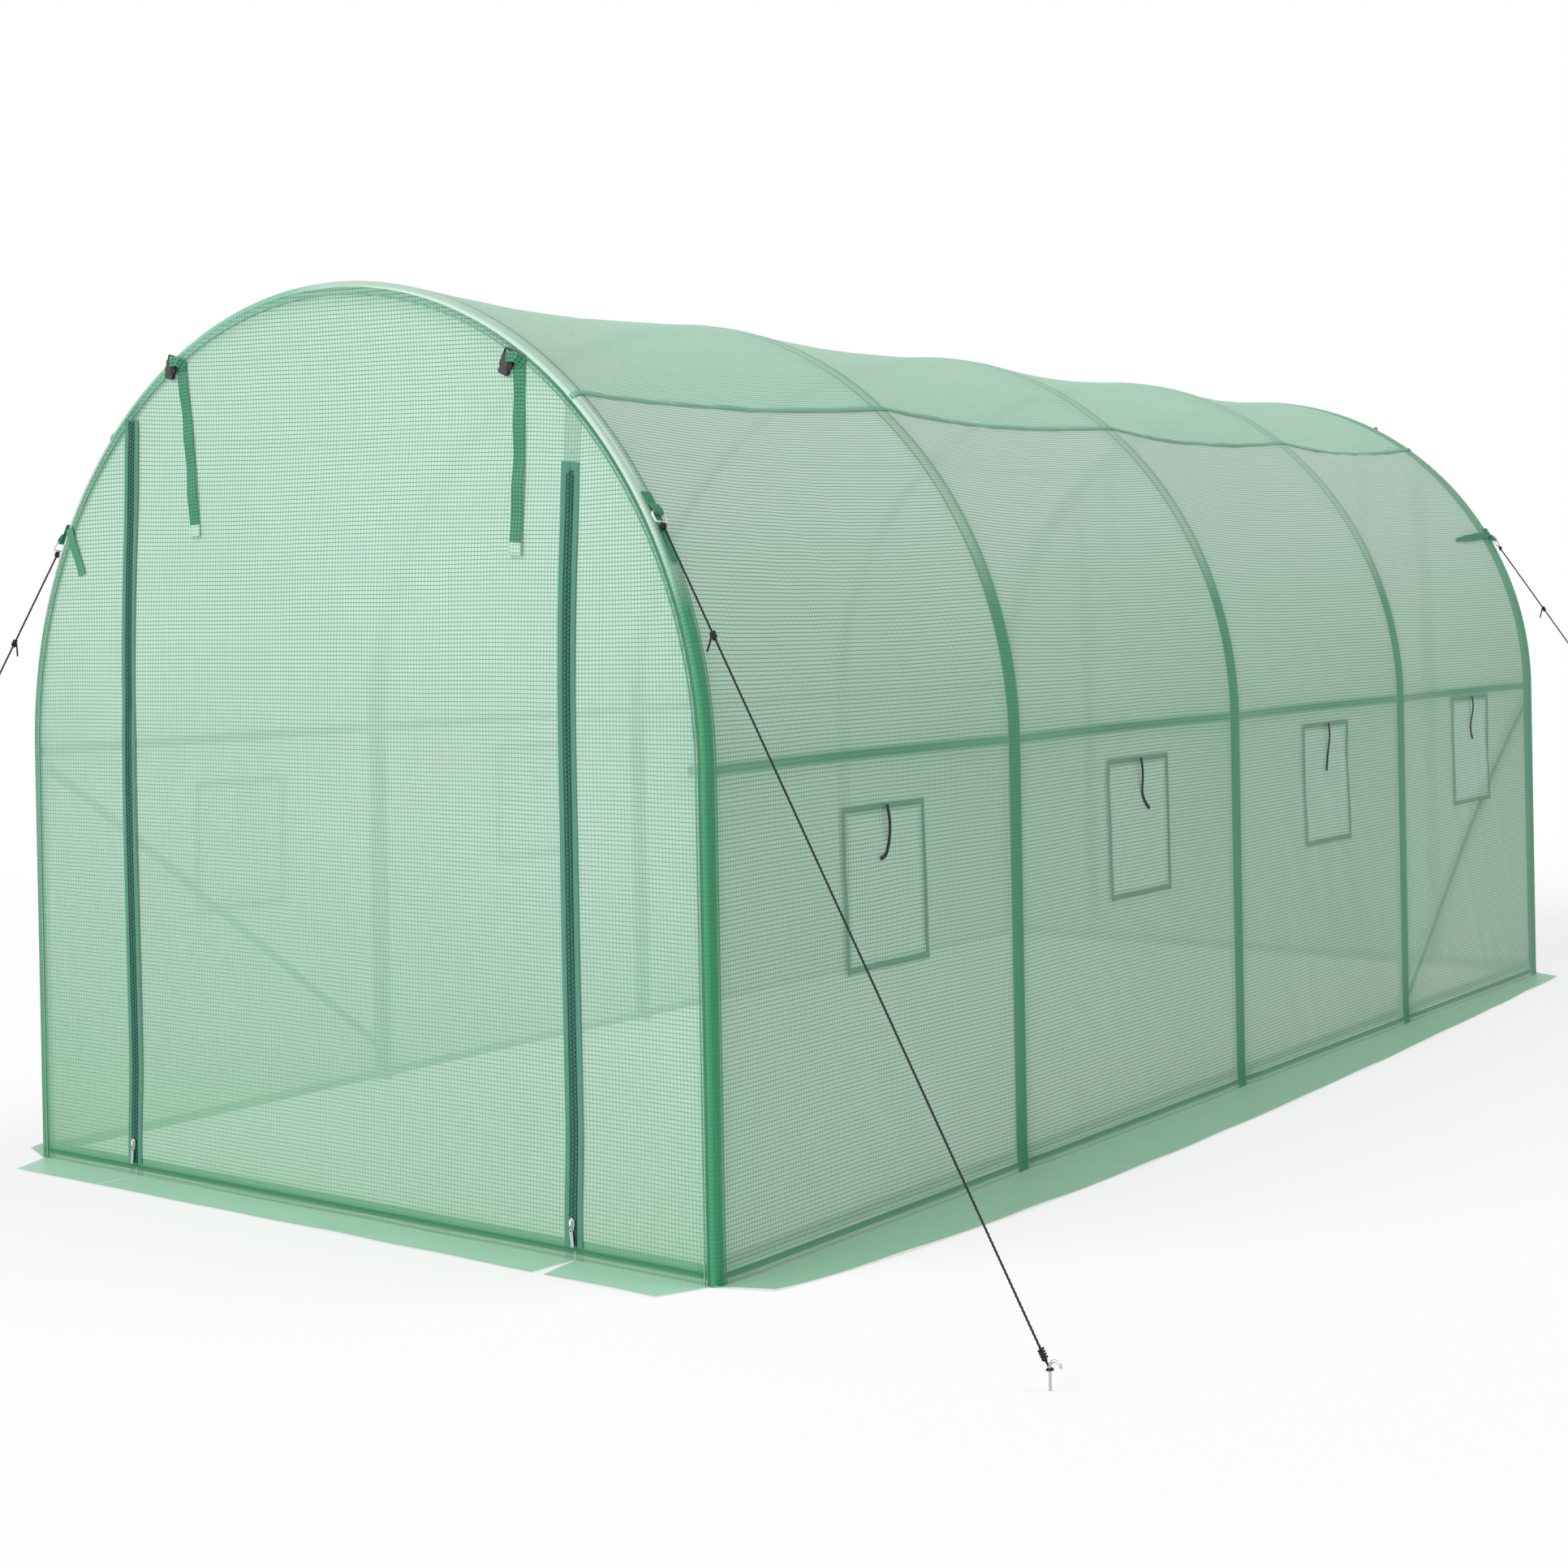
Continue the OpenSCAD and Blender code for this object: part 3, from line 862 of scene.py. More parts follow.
def offset(line: Sequence[Pair], inset: float) -> list[Pair]:
    """Moves a closed outline inward.

    Args:
        line: Its corners, anticlockwise.
        inset: The distance, below 0 to move it outward.

    Returns:
        As many corners as the outline has.
    """
    if not inset:
        return list(line)
    moved, count = [], len(line)
    for i in range(count):
        back, here, ahead = (Vector(line[(i + k) % count]) for k in (-1, 0, 1))
        normals = [Vector((-(b - a).y, (b - a).x)).normalized() for a, b in ((back, here), (here, ahead))]
        middle = (normals[0] + normals[1]).normalized()
        reach = inset / max(0.5, middle.dot(normals[0]))
        moved.append(tuple(here + middle * reach))
    return moved


def round_box(width: float, height: float, radius: float, steps: int = 5) -> list[Pair]:
    """A rectangle with rounded corners.

    Args:
        width: Its whole width.
        height: Its whole height.
        radius: Radius of its corners.
        steps: Points to a corner.

    Returns:
        Its points, anticlockwise from the right.
    """
    found = []
    for quarter, (x, y) in enumerate(((1, 1), (-1, 1), (-1, -1), (1, -1))):
        for k in range(steps):
            a = math.pi / 2 * (quarter + k / (steps - 1))
            found.append((x * (width / 2 - radius) + radius * math.cos(a),
                          y * (height / 2 - radius) + radius * math.sin(a)))
    return found


def circle(radius: float, count: int, start: float = 0.0) -> list[Pair]:
    """Points of a circle, anticlockwise."""
    turns = [start + 2 * math.pi * k / count for k in range(count)]
    return [(radius * math.cos(a), radius * math.sin(a)) for a in turns]


def flat_strip(width: float, thickness: float) -> list[Pair]:
    """Corners of a tape's section, anticlockwise."""
    half, deep = width / 2, thickness / 2
    return [(-half, -deep), (half, -deep), (half, deep), (-half, deep)]


def mirrored(line: Sequence[Pair]) -> list[Pair]:
    """A line turned over from right to left, which stays anticlockwise."""
    return [(-a, b) for a, b in line][::-1]


def shares(count: int, whole: float = 1.0) -> list[float]:
    """Even steps from 0 to a whole."""
    return [whole * k / count for k in range(count + 1)]


def stations(fixed: Sequence[float], step: float) -> list[float]:
    """Even stations between fixed places.

    Args:
        fixed: Places that are kept.
        step: The widest gap allowed.

    Returns:
        The fixed places and those between them, in order.
    """
    slack = 1e-6
    marks, found = sorted(set(fixed)), []
    for low, high in zip(marks, marks[1:]):
        parts = max(1, math.ceil((high - low) / step - slack))
        found += [low + (high - low) * k / parts for k in range(parts)]
    return [*found, marks[-1]]


def ease(value: float) -> float:
    """A share from 0 to 1 with soft ends."""
    t = min(1.0, max(0.0, value))
    return t * t * (3.0 - 2.0 * t)


def wander(x: float, y: float, seed: float) -> float:
    """Smooth noise between -1 and 1."""
    return noise.noise(Vector((x, y, seed)))


def swell(x: float, y: float, seed: float) -> float:
    """Smooth noise between 0 and 1."""
    return 0.5 + 0.5 * wander(x, y, seed)


def seat(piece: bpy.types.Object, slot: str) -> None:
    """Rides a piece on the body and reports it."""
    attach(piece, BODY)
    LOG.info("%s: %d faces", piece.name, len(piece.data.polygons))


def stand_in(shape: Shape, node: str, suffix: str, *materials: Material) -> bpy.types.Object:
    """Makes the piece that takes the place of a CAD node.

    Args:
        shape: Its points and faces.
        node: The CAD node, which gives the piece its name.
        suffix: End of the piece's name.
        materials: Its material slots, in order.

    Returns:
        The piece.
    """
    piece = shape.build(f"{node}_{suffix}", materials)
    seat(piece, node)
    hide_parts(node)
    return piece


def base_bands(shadow: float) -> tuple[FilmBand, FilmBand]:
    """The line of a base rail along the foot of a film, and the shadow of a given strength below it."""
    return (FilmBand(BandAxis.AROUND, 0.019, 0.013, BandKind.TUBE_WITH_SHADE, 0.84, 0.004),
            FilmBand(BandAxis.AROUND, 0.002, 0.024, BandKind.TUBE_WITH_SHADE, shadow, 0.006))


@dataclass(frozen=True)
class Tunnel:
    """Driving sizes of the tunnel and the surface that its film follows."""

    half_length: float
    half_width: float
    leg: float
    bays: int = 4
    tube: float = 0.025
    gap: float = 0.0008
    film: float = 0.002
    ground_clear: float = 0.0012
    haunch_sag: float = 0.022
    ridge_sag: float = 0.016
    skirt: float = 0.195
    end_skirt: float = 0.115
    seam_angle: float = math.radians(50.0)
    window_width: float = 0.306
    window_height: float = 0.338
    window_lap: float = 0.020
    window_drop: float = 0.014
    window_rise: float = 0.030
    window_shift: float = 0.045
    broad_fold: float = 0.005
    sharp_fold: float = 0.0035

    @classmethod
    def from_frame(cls) -> "Tunnel":
        """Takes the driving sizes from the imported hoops.

        Returns:
            The tunnel.
        """
        low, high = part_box("hoop_legs")
        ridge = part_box("hoop_crowns")[1].z
        half_width = (high.x - low.x) / 2
        return cls((high.y - low.y) / 2, half_width, ridge - half_width)

    @property
    def pitch(self) -> float:
        """Distance between hoops."""
        return (2 * self.half_length - self.tube) / self.bays

    @property
    def radius(self) -> float:
        """Radius of the film over the hoops."""
        return self.half_width + self.gap + self.film / 2

    @property
    def bow(self) -> float:
        """Radius of the hoops' middle line."""
        return self.half_width - self.tube / 2

    @property
    def end(self) -> float:
        """Distance of an end panel from the middle."""
        return self.half_length + self.gap + self.film / 2

    @property
    def seam(self) -> float:
        """Place of the roof seam around the profile."""
        return self.leg + self.radius * self.seam_angle

    @property
    def ridge(self) -> float:
        """Place of the ridge around the profile."""
        return self.leg + self.radius * math.pi / 2

    @property
    def hole_half(self) -> float:
        """Half the width of a window's opening."""
        return self.window_width / 2 - self.window_lap

    def hoop_y(self, index: int) -> float:
        """Place of a hoop along the tunnel."""
        return index * self.pitch - self.half_length + self.tube / 2

    def window_y(self, index: int) -> float:
        """Middle of a bay's window along the tunnel."""
        return self.hoop_y(index) + self.pitch / 2 + self.window_shift

    def window_foot(self, index: int) -> float:
        """Height of a window flap's lower edge."""
        return self.leg - self.window_drop - self.window_height - (self.bays - 1 - index) * self.window_rise

    def bow_point(self, radius: float, angle: float, y: float) -> Vector:
        """A point over the bow, at an angle up from the right rail."""
        return Vector((radius * math.cos(angle), y, self.leg + radius * math.sin(angle)))

    def wall_seed(self, sign: int) -> float:
        """Picks the slack folds of one side."""
        return 11.0 + sign

    def deep_sag(self, s: float) -> float:
        """How far the film hangs in halfway between hoops.

        Args:
            s: Place around the profile.

        Returns:
            The depth, which grows to the rail and then changes smoothly to the haunch and the ridge.
        """
        if s < self.leg:
            return self.tube * max(s, 0.0) / self.leg
        a = (s - self.leg) / self.radius
        mean = (self.tube + self.ridge_sag) / 2
        return ((mean + self.haunch_sag) / 2 + (self.tube - self.ridge_sag) / 2 * math.cos(2 * a)
                + (mean - self.haunch_sag) / 2 * math.cos(4 * a))

    def share(self, y: float) -> float:
        """Share of that sag.

        Args:
            y: Place along the tunnel.

        Returns:
            0 over a hoop and 1 halfway between two hoops.
        """
        bay = max(0, min(self.bays - 1, math.floor((y - self.hoop_y(0)) / self.pitch)))
        t = (y - self.hoop_y(bay) - self.tube / 2) / (self.pitch - self.tube)
        t = max(0.0, min(1.0, t))
        return 4 * t * (1 - t)

    def turn_in(self, y: float) -> float:
        """How far the film has turned in round an end hoop's tube."""
        past, turn = abs(y) - abs(self.hoop_y(0)), self.end - abs(self.hoop_y(0))
        return turn - math.sqrt(max(0.0, turn * turn - past * past)) if past > 0.0 else 0.0

    def crease(self, y: float, s: float, seed: float) -> float:
        """Depth of the small slack folds in the film.

        Args:
            y: Place along the tunnel.
            s: Place around it.
            seed: Picks the folds.

        Returns:
            The depth, which is none at the hoops, the rail and the ground.
        """
        if s <= 0.0:
            return 0.0
        at_rail = ease((abs(s - self.leg) - 0.03) / 0.10)
        hold = self.share(y) * at_rail * ease(s / 0.15)
        broad = swell(y * 2.1, s * 1.6, seed)
        pull = abs(wander(y * 5.5 + s * 2.4, s * 1.3 - y * 0.7, seed + 7.0))
        return hold * (self.broad_fold * broad + self.sharp_fold * (1.0 - pull) ** 4)

    def skin(self, y: float, s: float, lift: float = 0.0, seed: float = 0.0) -> Vector:
        """A point of the right half of the film.

        Args:
            y: Place along the tunnel.
            s: Place around it, 0 at the ground and growing up the wall and over the bow.
            lift: Distance outward from the film.
            seed: Picks the film's slack folds.

        Returns:
            The point.
        """
        r = self.radius + lift - self.deep_sag(s) * self.share(y) - self.crease(y, s, seed) - self.turn_in(y)
        if s < self.leg:
            return Vector((r, y, s))
        return self.bow_point(r, (s - self.leg) / self.radius, y)


@dataclass(frozen=True)
class Cover:
    """The film over the sides and roof, with its skirts and seams."""

    tunnel: Tunnel
    step_along: float = 0.020
    step_around: float = 0.026
    turn_steps: int = 6
    lap: float = 0.014
    skirt_wave: float = 0.007
    seam_width: float = 0.014
    seam_rise: float = 0.0011
    seam_lift: float = 0.0026
    roof_lift: float = 0.0006
    roof_seed: float = 31.0
    # Widths of the bands that paint shade over the tubes, and of the pale sleeves that are a painted
    # highlight.
    hoop_band: float = 0.046
    hoop_lead: float = 0.013
    hoop_line: float = 0.006
    rear_band: float = 0.070
    end_line: float = 0.005
    end_sleeve_highlight: float = 0.022
    inner_sleeve_highlight: float = 0.026
    rail_band: float = 0.021
    brace_band: float = 0.028
    brace_foot: float = 0.0791
    brace_slope: float = 0.83 / 1.08
    notch: float = 0.050
    notch_left: float = 0.12
    skirt_ends: float = 0.082
    skirt_swell: float = 0.122
    flare: float = 0.012
    flare_height: float = 0.060
    fold_out: float = 0.006
    fold_up: float = 0.012
    drift: tuple[float, float, float] = (0.010, 0.020, 0.045)
    # Paler than the end panels' film to make up for the weaker light on the walls: painted light.
    side_pane: Colour = (0.635, 0.935, 0.762)
    side_clear: float = 0.09
    roof_pane: Colour = (0.415, 0.95, 0.63)
    roof_clear: float = 0.05
    # Heights between which the painted shade on the hoops and the painted sleeve highlight fade.
    shine_low: float = 0.30
    shine_high: float = 0.52
    roof_fade: float = 0.10
    ridge_fade: float = 0.12

    def film(self, name: str, clear: float, pane: Colour, pressed: Pair, highlight_fade: Pair,
             extra: Sequence[FilmBand] = ()) -> Material:
        """The film, dark where it presses on a hoop, a painted shade over the tube that shows through, and
        pale where its sleeve shines, a painted highlight.

        Args:
            name: Name of the material.
            clear: Share of light that goes straight through.
            pane: Colour of the film between its strands.
            pressed: Places around the film between which the dark bands of painted shade fade.
            highlight_fade: Places around the film between which the pale sleeves, a painted highlight, fade
                out.
            extra: Bands of its own.

        Returns:
            The material.
        """
        t, at = self.tunnel, self.tunnel.hoop_y(0)
        inner, mid = (at + t.pitch / 2, -at - t.pitch / 2), at - self.hoop_lead
        along, tube, sleeve = BandAxis.ALONG, BandKind.TUBE_WITH_SHADE, BandKind.SLEEVE_HIGHLIGHT
        # Painted shade: hoop lines darker low on the walls and lighter higher up. Painted highlight: pale
        # sleeves on the hoops' upper parts, on the roof only on its right half.
        bands = [
            FilmBand(along, mid, self.hoop_band, tube, 0.88, 0.006, t.pitch, pressed, 0.42),
            FilmBand(along, -at - self.rear_band * 0.42, self.rear_band, tube, 0.80, 0.008),
            FilmBand(along, mid, self.inner_sleeve_highlight, sleeve, 0.28, 0.006, t.pitch, highlight_fade, span=inner)]
        for side in HANDS:
            edge, last, turned = mid + side * self.hoop_band * 0.46, side * (-at - 0.013), side * (0.006 - at)
            bands += [
                FilmBand(along, edge, self.hoop_line, tube, 0.75, 0.003, t.pitch, span=inner),
                FilmBand(along, last, self.end_line, tube, 0.85, 0.003),
                FilmBand(along, turned, self.end_sleeve_highlight, sleeve, 0.85, 0.004, fade=highlight_fade)]
        return RipstopFilm(name, (*bands, *extra), pane_clear=clear, pane=pane).make()

    def side_film(self, side: str, sign: int) -> Material:
        """One side's film, with the lines of the rails and the brace that show through it, darkened with
        painted shade, and a painted shadow below the base rail.

        Args:
            side: Name of the side.
            sign: 1 for the right side, -1 for the left.

        Returns:
            The material.
        """
        t = self.tunnel
        low, high = t.leg + self.shine_low, t.leg + self.shine_high
        rail = FilmBand(BandAxis.AROUND, t.leg, self.rail_band, BandKind.TUBE_WITH_SHADE, 0.68, 0.006)
        near, far = t.hoop_y(t.bays - 1), t.hoop_y(t.bays)
        brace = FilmBand(
            BandAxis.AROUND, self.brace_foot - self.brace_slope * near, self.brace_band, BandKind.TUBE_WITH_SHADE,
            0.55 if sign > 0 else 0.85, 0.010, slope=sign * self.brace_slope,
            span=(near, far) if sign > 0 else (-far, -near))
        return self.film(f"{side}_side_film", self.side_clear, self.side_pane, (low, high), (high, low),
                         (*base_bands(0.42), rail, brace))

    def roof_film(self) -> Material:
        """The roof's film, whose hoop bands of painted shade are faint and whose pale sleeves, a painted
        highlight, shine on its right half up to the ridge.
        """
        t = self.tunnel
        return self.film("roof_film", self.roof_clear, self.roof_pane, (t.leg, t.leg + self.roof_fade),
                         (t.ridge, t.ridge + self.ridge_fade))

    def along(self) -> list[float]:
        """Stations along the tunnel, at the hoops' and windows' edges too.

        Returns:
            The stations, in order.
        """
        t, fixed, turn = self.tunnel, [], self.tunnel.end + self.tunnel.hoop_y(0)
        for angle in shares(self.turn_steps, math.pi / 2):
            past = turn * math.sin(angle)
            fixed += [t.hoop_y(0) - past, past - t.hoop_y(0)]
        for i in range(1, t.bays):
            fixed += [t.hoop_y(i) - t.tube / 2, t.hoop_y(i), t.hoop_y(i) + t.tube / 2]
        fixed += [t.hoop_y(0) + t.tube / 2, -t.hoop_y(0) - t.tube / 2]
        for i in range(t.bays):
            fixed += [t.window_y(i) - t.hole_half, t.window_y(i) + t.hole_half]
        return stations(fixed, self.step_along)

    def drifted(self, y: float, s: float) -> float:
        """Moves a place around the film with the roof seam, which climbs from front to rear.

        Args:
            y: Place along the tunnel.
            s: Place around it.

        Returns:
            The place to which the film has drifted.
        """
        t, run = self.tunnel, y / self.tunnel.end
        rise = self.drift[0] + self.drift[1] * run + self.drift[2] * run ** 3
        if s > t.ridge:
            return 2 * t.ridge - self.drifted(y, 2 * t.ridge - s)
        if s > t.seam:
            return s + rise * (t.ridge - s) / (t.ridge - t.seam)
        return s + rise * max(0.0, s - t.leg) / (t.seam - t.leg)

    def uncut(self, y: float) -> float:
        """Share of the skirt's width that the notch at a corner leaves."""
        return self.notch_left + (1.0 - self.notch_left) * ease((self.tunnel.end - abs(y)) / self.notch)

    def foot(self, y: float, s: float) -> float:
        """How far the film's foot flares out between the hoops, where it turns into the skirt.

        Args:
            y: Place along the tunnel.
            s: Place around it.

        Returns:
            The distance outward.
        """
        held = self.uncut(y) * (0.2 + 0.8 * min(1.0, 3.0 * self.tunnel.share(y)))
        return self.flare * held * max(0.0, 1.0 - max(s, 0.0) / self.flare_height) ** 2

    def skirt_point(self, y: float, s: float, seed: float) -> Vector:
        """A point of the skirt, widest near the front and notched at the corners.

        Args:
            y: Place along the tunnel.
            s: Place around it, below 0.
            seed: Picks the skirt's waves.

        Returns:
            The point on the right side.
        """
        t, share = self.tunnel, -s / self.tunnel.skirt
        run = min(1.0, max(0.0, (y + t.end) / (2 * t.end)))
        wide = self.skirt_ends + self.skirt_swell * math.sin(math.pi * run ** 0.62)
        start = self.foot(y, 0.0)
        reach = start + share * (wide * self.uncut(y) - start) * (0.97 + 0.03 * wander(y * 3.1, 0.0, seed))
        wave = self.skirt_wave * share * swell(y * 4.6, share * 1.2, seed + 3.0) ** 2
        return Vector((t.radius - t.turn_in(y) + reach, y, t.ground_clear + wave))

    def side(self, name: str, sign: int, film: Material, skirt: Material) -> None:
        """Args:
            name: The CAD node that it stands for.
            sign: 1 for the right side, -1 for the left.
            film: Finish of the wall.
            skirt: Finish of the skirt.
        """
        t, ys, seed = self.tunnel, self.along(), self.tunnel.wall_seed(sign)
        feet = [t.window_foot(i) + t.window_lap for i in range(t.bays)]
        tops = [t.window_foot(i) + t.window_height - t.window_lap for i in range(t.bays)]
        fold = (-self.fold_out, 0.0, self.fold_up)
        ss = stations([-t.skirt, *fold, *feet, *tops, t.leg, t.seam], self.step_around)

        def point(y: float, s: float) -> Vector:
            """A point of wall or skirt, on the right side."""
            if s <= 0:
                return self.skirt_point(y, s, seed)
            return t.skin(y, self.drifted(y, s), self.foot(y, s), seed)

        def slot_of(i: int, j: int) -> Optional[int]:
            """Skirt, wall or window opening.

            Args:
                i: Row of a cell.
                j: Column of the cell.

            Returns:
                Its material slot, or None for an opening.
            """
            y, s = (ys[i] + ys[i + 1]) / 2, (ss[j] + ss[j + 1]) / 2
            for bay in range(t.bays):
                if abs(y - t.window_y(bay)) < t.hole_half and feet[bay] < s < tops[bay]:
                    return None
            return 1 if s < 0 else 0

        shape = Shape(Matrix.Scale(sign, 4, X_AXIS))
        shape.grid([[point(y, s) for s in ss] for y in ys],
                   [[(y, self.drifted(y, s)) for s in ss] for y in ys], slot_of)
        piece = stand_in(shape, name, "film", film, skirt)
        flat = (2 * t.end, t.skirt + t.seam)
        holes = t.bays * 2 * t.hole_half * (t.window_height - 2 * t.window_lap)
        flat[0] * flat[1] - holes

    def roof(self, tape: Material) -> None:
        """Args:
            tape: Finish of the seams.
        """
        t, ys, start = self.tunnel, self.along(), self.tunnel.seam - self.lap
        ss = stations([start, t.seam, t.ridge, 2 * t.ridge - t.seam, 2 * t.ridge - start], self.step_around)
        shape = Shape()
        rows = [[self.drifted(y, s) for s in ss] for y in ys]
        shape.grid([[t.skin(y, s, self.roof_lift, self.roof_seed) for s in row] for y, row in zip(ys, rows)],
                   [[(y, s) for s in row] for y, row in zip(ys, rows)])
        piece = stand_in(shape, "roof_cover", "film", self.roof_film())
        flat = (2 * t.end, 2 * (t.ridge - start))
        for side, sign in SIDES:
            self.seam(f"{side}_roof_seam", sign, ys, tape)

    def seam(self, name: str, sign: int, ys: Sequence[float], tape: Material) -> None:
        """Adds the taped seam along the roof film's edge.

        Args:
            name: Name of the piece.
            sign: 1 for the right side, -1 for the left.
            ys: Stations along the tunnel.
            tape: Finish of the seam.
        """
        t, s = self.tunnel, self.tunnel.seam - self.lap
        half, rise = self.seam_width / 2, self.seam_rise
        profile = [(-half, -rise), (half, -rise), (half * 0.6, rise), (-half * 0.6, rise)]
        path = [t.skin(y, self.drifted(y, s), self.seam_lift, self.roof_seed) for y in ys]
        shape = Shape(Matrix.Scale(sign, 4, X_AXIS))
        shape.sweep(path, profile, Vector((-math.sin(t.seam_angle), 0.0, math.cos(t.seam_angle))))
        if sign < 0:
            shape.flip()
        seat(shape.build(name, (tape,)), "roof_cover")


@dataclass(frozen=True)
class EndWall:
    """One end of the tunnel: two fixed panels and a zipped roll-up door with its straps."""

    tunnel: Tunnel
    name: str
    turned: bool
    step_across: float = 0.020
    rows_up: int = 84
    rows_out: int = 8
    broad_fold: float = 0.009
    sharp_fold: float = 0.004
    skirt_wave: float = 0.006
    skirt_corner: float = 0.045
    skirt_split: float = 0.014
    skirt_closed: float = 0.001
    slit: float = 0.0005
    sleeve: float = 0.013
    welt_radius: float = 0.0016
    welt_lift: float = 0.0008
    welt_foot: float = 0.004
    zip_x: float = 0.655
    zip_width: float = 0.046
    zip_foot: float = 0.030
    zip_top: float = 0.004
    zip_lift: float = 0.0022
    zip_step: float = 0.012
    right_zip_short: float = 0.10
    tape_over: float = 0.02
    tape_gap: float = 0.0006
    coil_width: float = 0.017
    bead: float = 0.0011
    bead_lift: float = 0.0036
    tooth_pitch: float = 0.0045
    tooth_rise: float = 0.0024
    tooth_lift: float = 0.0030
    slider_height: float = 0.040
    slider_thick: float = 0.0026
    slider_lift: float = 0.0060
    zip_pull: float = 0.033
    pull_from: float = 0.900
    pull_over: float = 0.700
    pull_to: float = 1.680
    strap_x: float = 0.500
    strap_width: float = 0.030
    strap_thick: float = 0.0014
    strap_length: float = 0.385
    strap_inset: float = 0.030
    strap_shift: float = 0.060
    strap_lean: float = math.radians(4.0)
    strap_end: float = 0.024
    strap_lift: float = 0.0022
    fringe_threads: int = 9
    fold_height: float = 0.020
    fold_thick: float = 0.0016
    buckle_width: float = 0.034
    buckle_height: float = 0.046
    buckle_thick: float = 0.0095
    buckle_lift: float = 0.0030
    buckle_tilt: float = math.radians(20.0)

    @property
    def turn(self) -> Matrix:
        """Turns the front end into this end."""
        return Matrix.Rotation(math.pi if self.turned else 0.0, 4, "Z")

    def rim(self, x: float) -> float:
        """Height of the panel's outline at a width."""
        edge = self.tunnel.bow
        return self.tunnel.leg + math.sqrt(max(0.0, edge ** 2 - min(abs(x), edge) ** 2))

    def relief(self, x: float, z: float) -> float:
        """How far the panel's slack folds lie back from its plane.

        Args:
            x: Place across the panel.
            z: Height.

        Returns:
            The depth, which is none at the panel's outline.
        """
        inset = self.tunnel.bow - math.hypot(x, max(0.0, z - self.tunnel.leg))
        hold = ease((inset - 0.02) / 0.16) * ease((z - 0.05) / 0.22)
        seed = 53.0 if self.turned else 41.0
        broad = swell(x * 1.9, z * 1.3, seed)
        drop = abs(wander(x * 7.0 + 0.6 * z, z * 0.9, seed + 5.0))
        return hold * (self.broad_fold * broad + self.sharp_fold * (1.0 - drop) ** 4)

    def face(self, x: float, z: float, lift: float = 0.0) -> Vector:
        """A point in front of the panel by a lift."""
        return Vector((x, -self.tunnel.end - lift + self.relief(x, z), z))

    def film(self) -> Material:
        """The panels' film, hemmed at the zips and darkened with painted shade along the end hoop, under its
        crown and along the base rail.

        Returns:
            The material.
        """
        t, rim, tube, hem = self.tunnel, BandAxis.RIM, BandKind.TUBE_WITH_SHADE, self.zip_width * 1.05
        left, right = (-1.1, 0.0), (0.0, 1.1)
        bands = [
            FilmBand(rim, self.sleeve, 0.003, strength=0.8),
            # Painted shade along the end hoop: darker and narrower on the right than on the left, lighter
            # towards the crown, with a broad soft green band under the crown.
            FilmBand(rim, 0.0, t.tube * 0.7, tube, 0.94, 0.004, fade=(1.72, 1.94), faded=0.40, span=right),
            FilmBand(rim, 0.0, t.tube * 1.9, tube, 0.62, 0.008, fade=(1.70, 1.95), faded=0.20, span=left),
            FilmBand(rim, 0.0, t.tube * 2.0, tube, 0.45, 0.060, fade=(1.93, 1.70)),
            *base_bands(0.36)]
        bands += [FilmBand(BandAxis.ALONG, side * self.zip_x, hem, strength=0.45) for side in HANDS]
        # The darker tube colour paints shade along the hoop and rail, and the darker foot colour paints shade
        # low on the panels.
        return RipstopFilm(
            f"{self.name}_film", tuple(bands), t.bow, t.leg, pane_clear=0.25, pane=(0.505, 0.78, 0.63),
            strand=(0.125, 0.30, 0.20), foot=(0.19, 0.54, 0.27), foot_fade=(0.05, 0.85), haze=(0.98, 1.25),
            pressed=(0.018, 0.145, 0.068)).make()

    def pull(self, z: float) -> float:
        """How far the bow's tension carries the zips over, above the rails."""
        return self.zip_pull * max(0.0, (min(z, self.pull_to) - self.pull_from) / self.pull_over) ** 2

    def panel(self, part: str, low: float, high: float, film: Material, skirt: Material, cuts: Pair) -> None:
        """Args:
            part: Which panel it is, in the name of the CAD node that it stands for.
            low: Its left edge.
            high: Its right edge.
            film: Finish of the panel.
            skirt: Finish of the skirt.
            cuts: How far the skirt's outer corners are cut back, left and right.
        """
        t, seed = self.tunnel, 61.0 if self.turned else 67.0
        steep = [side * t.bow * math.sin(math.radians(a)) for side in HANDS for a in range(72, 90, 2)]
        xs = sorted({*stations([low, high], self.step_across), *(x for x in steep if low < x < high)})
        ups, outs = shares(self.rows_up), shares(self.rows_out, t.end_skirt)[:0:-1]

        def skirt_point(x: float, out: float) -> Vector:
            """A point of the skirt turned out on the ground.

            Args:
                x: Place across the panel.
                out: Distance from the wall.

            Returns:
                The point.
            """
            share = out / t.end_skirt
            left, right = low + cuts[0] * share, high - cuts[1] * share
            wave = self.skirt_wave * share * swell(x * 4.0, share, seed) ** 2
            reach = out * (0.96 + 0.03 * wander(x * 3.0, 0.5, seed + 2.0))
            across = left + (right - left) * (x - low) / (high - low)
            return Vector((across, -t.end - reach, t.ground_clear + wave))

        def wall_point(x: float, up: float) -> Vector:
            """A point of the panel, whose zipped edges are pulled over near the top."""
            loose = min(1.0, (t.bow - abs(x)) / (t.bow - self.zip_x))
            pulled = x + loose * self.pull(up * self.rim(x))
            return self.face(pulled, t.ground_clear + up * (self.rim(pulled) - t.ground_clear))

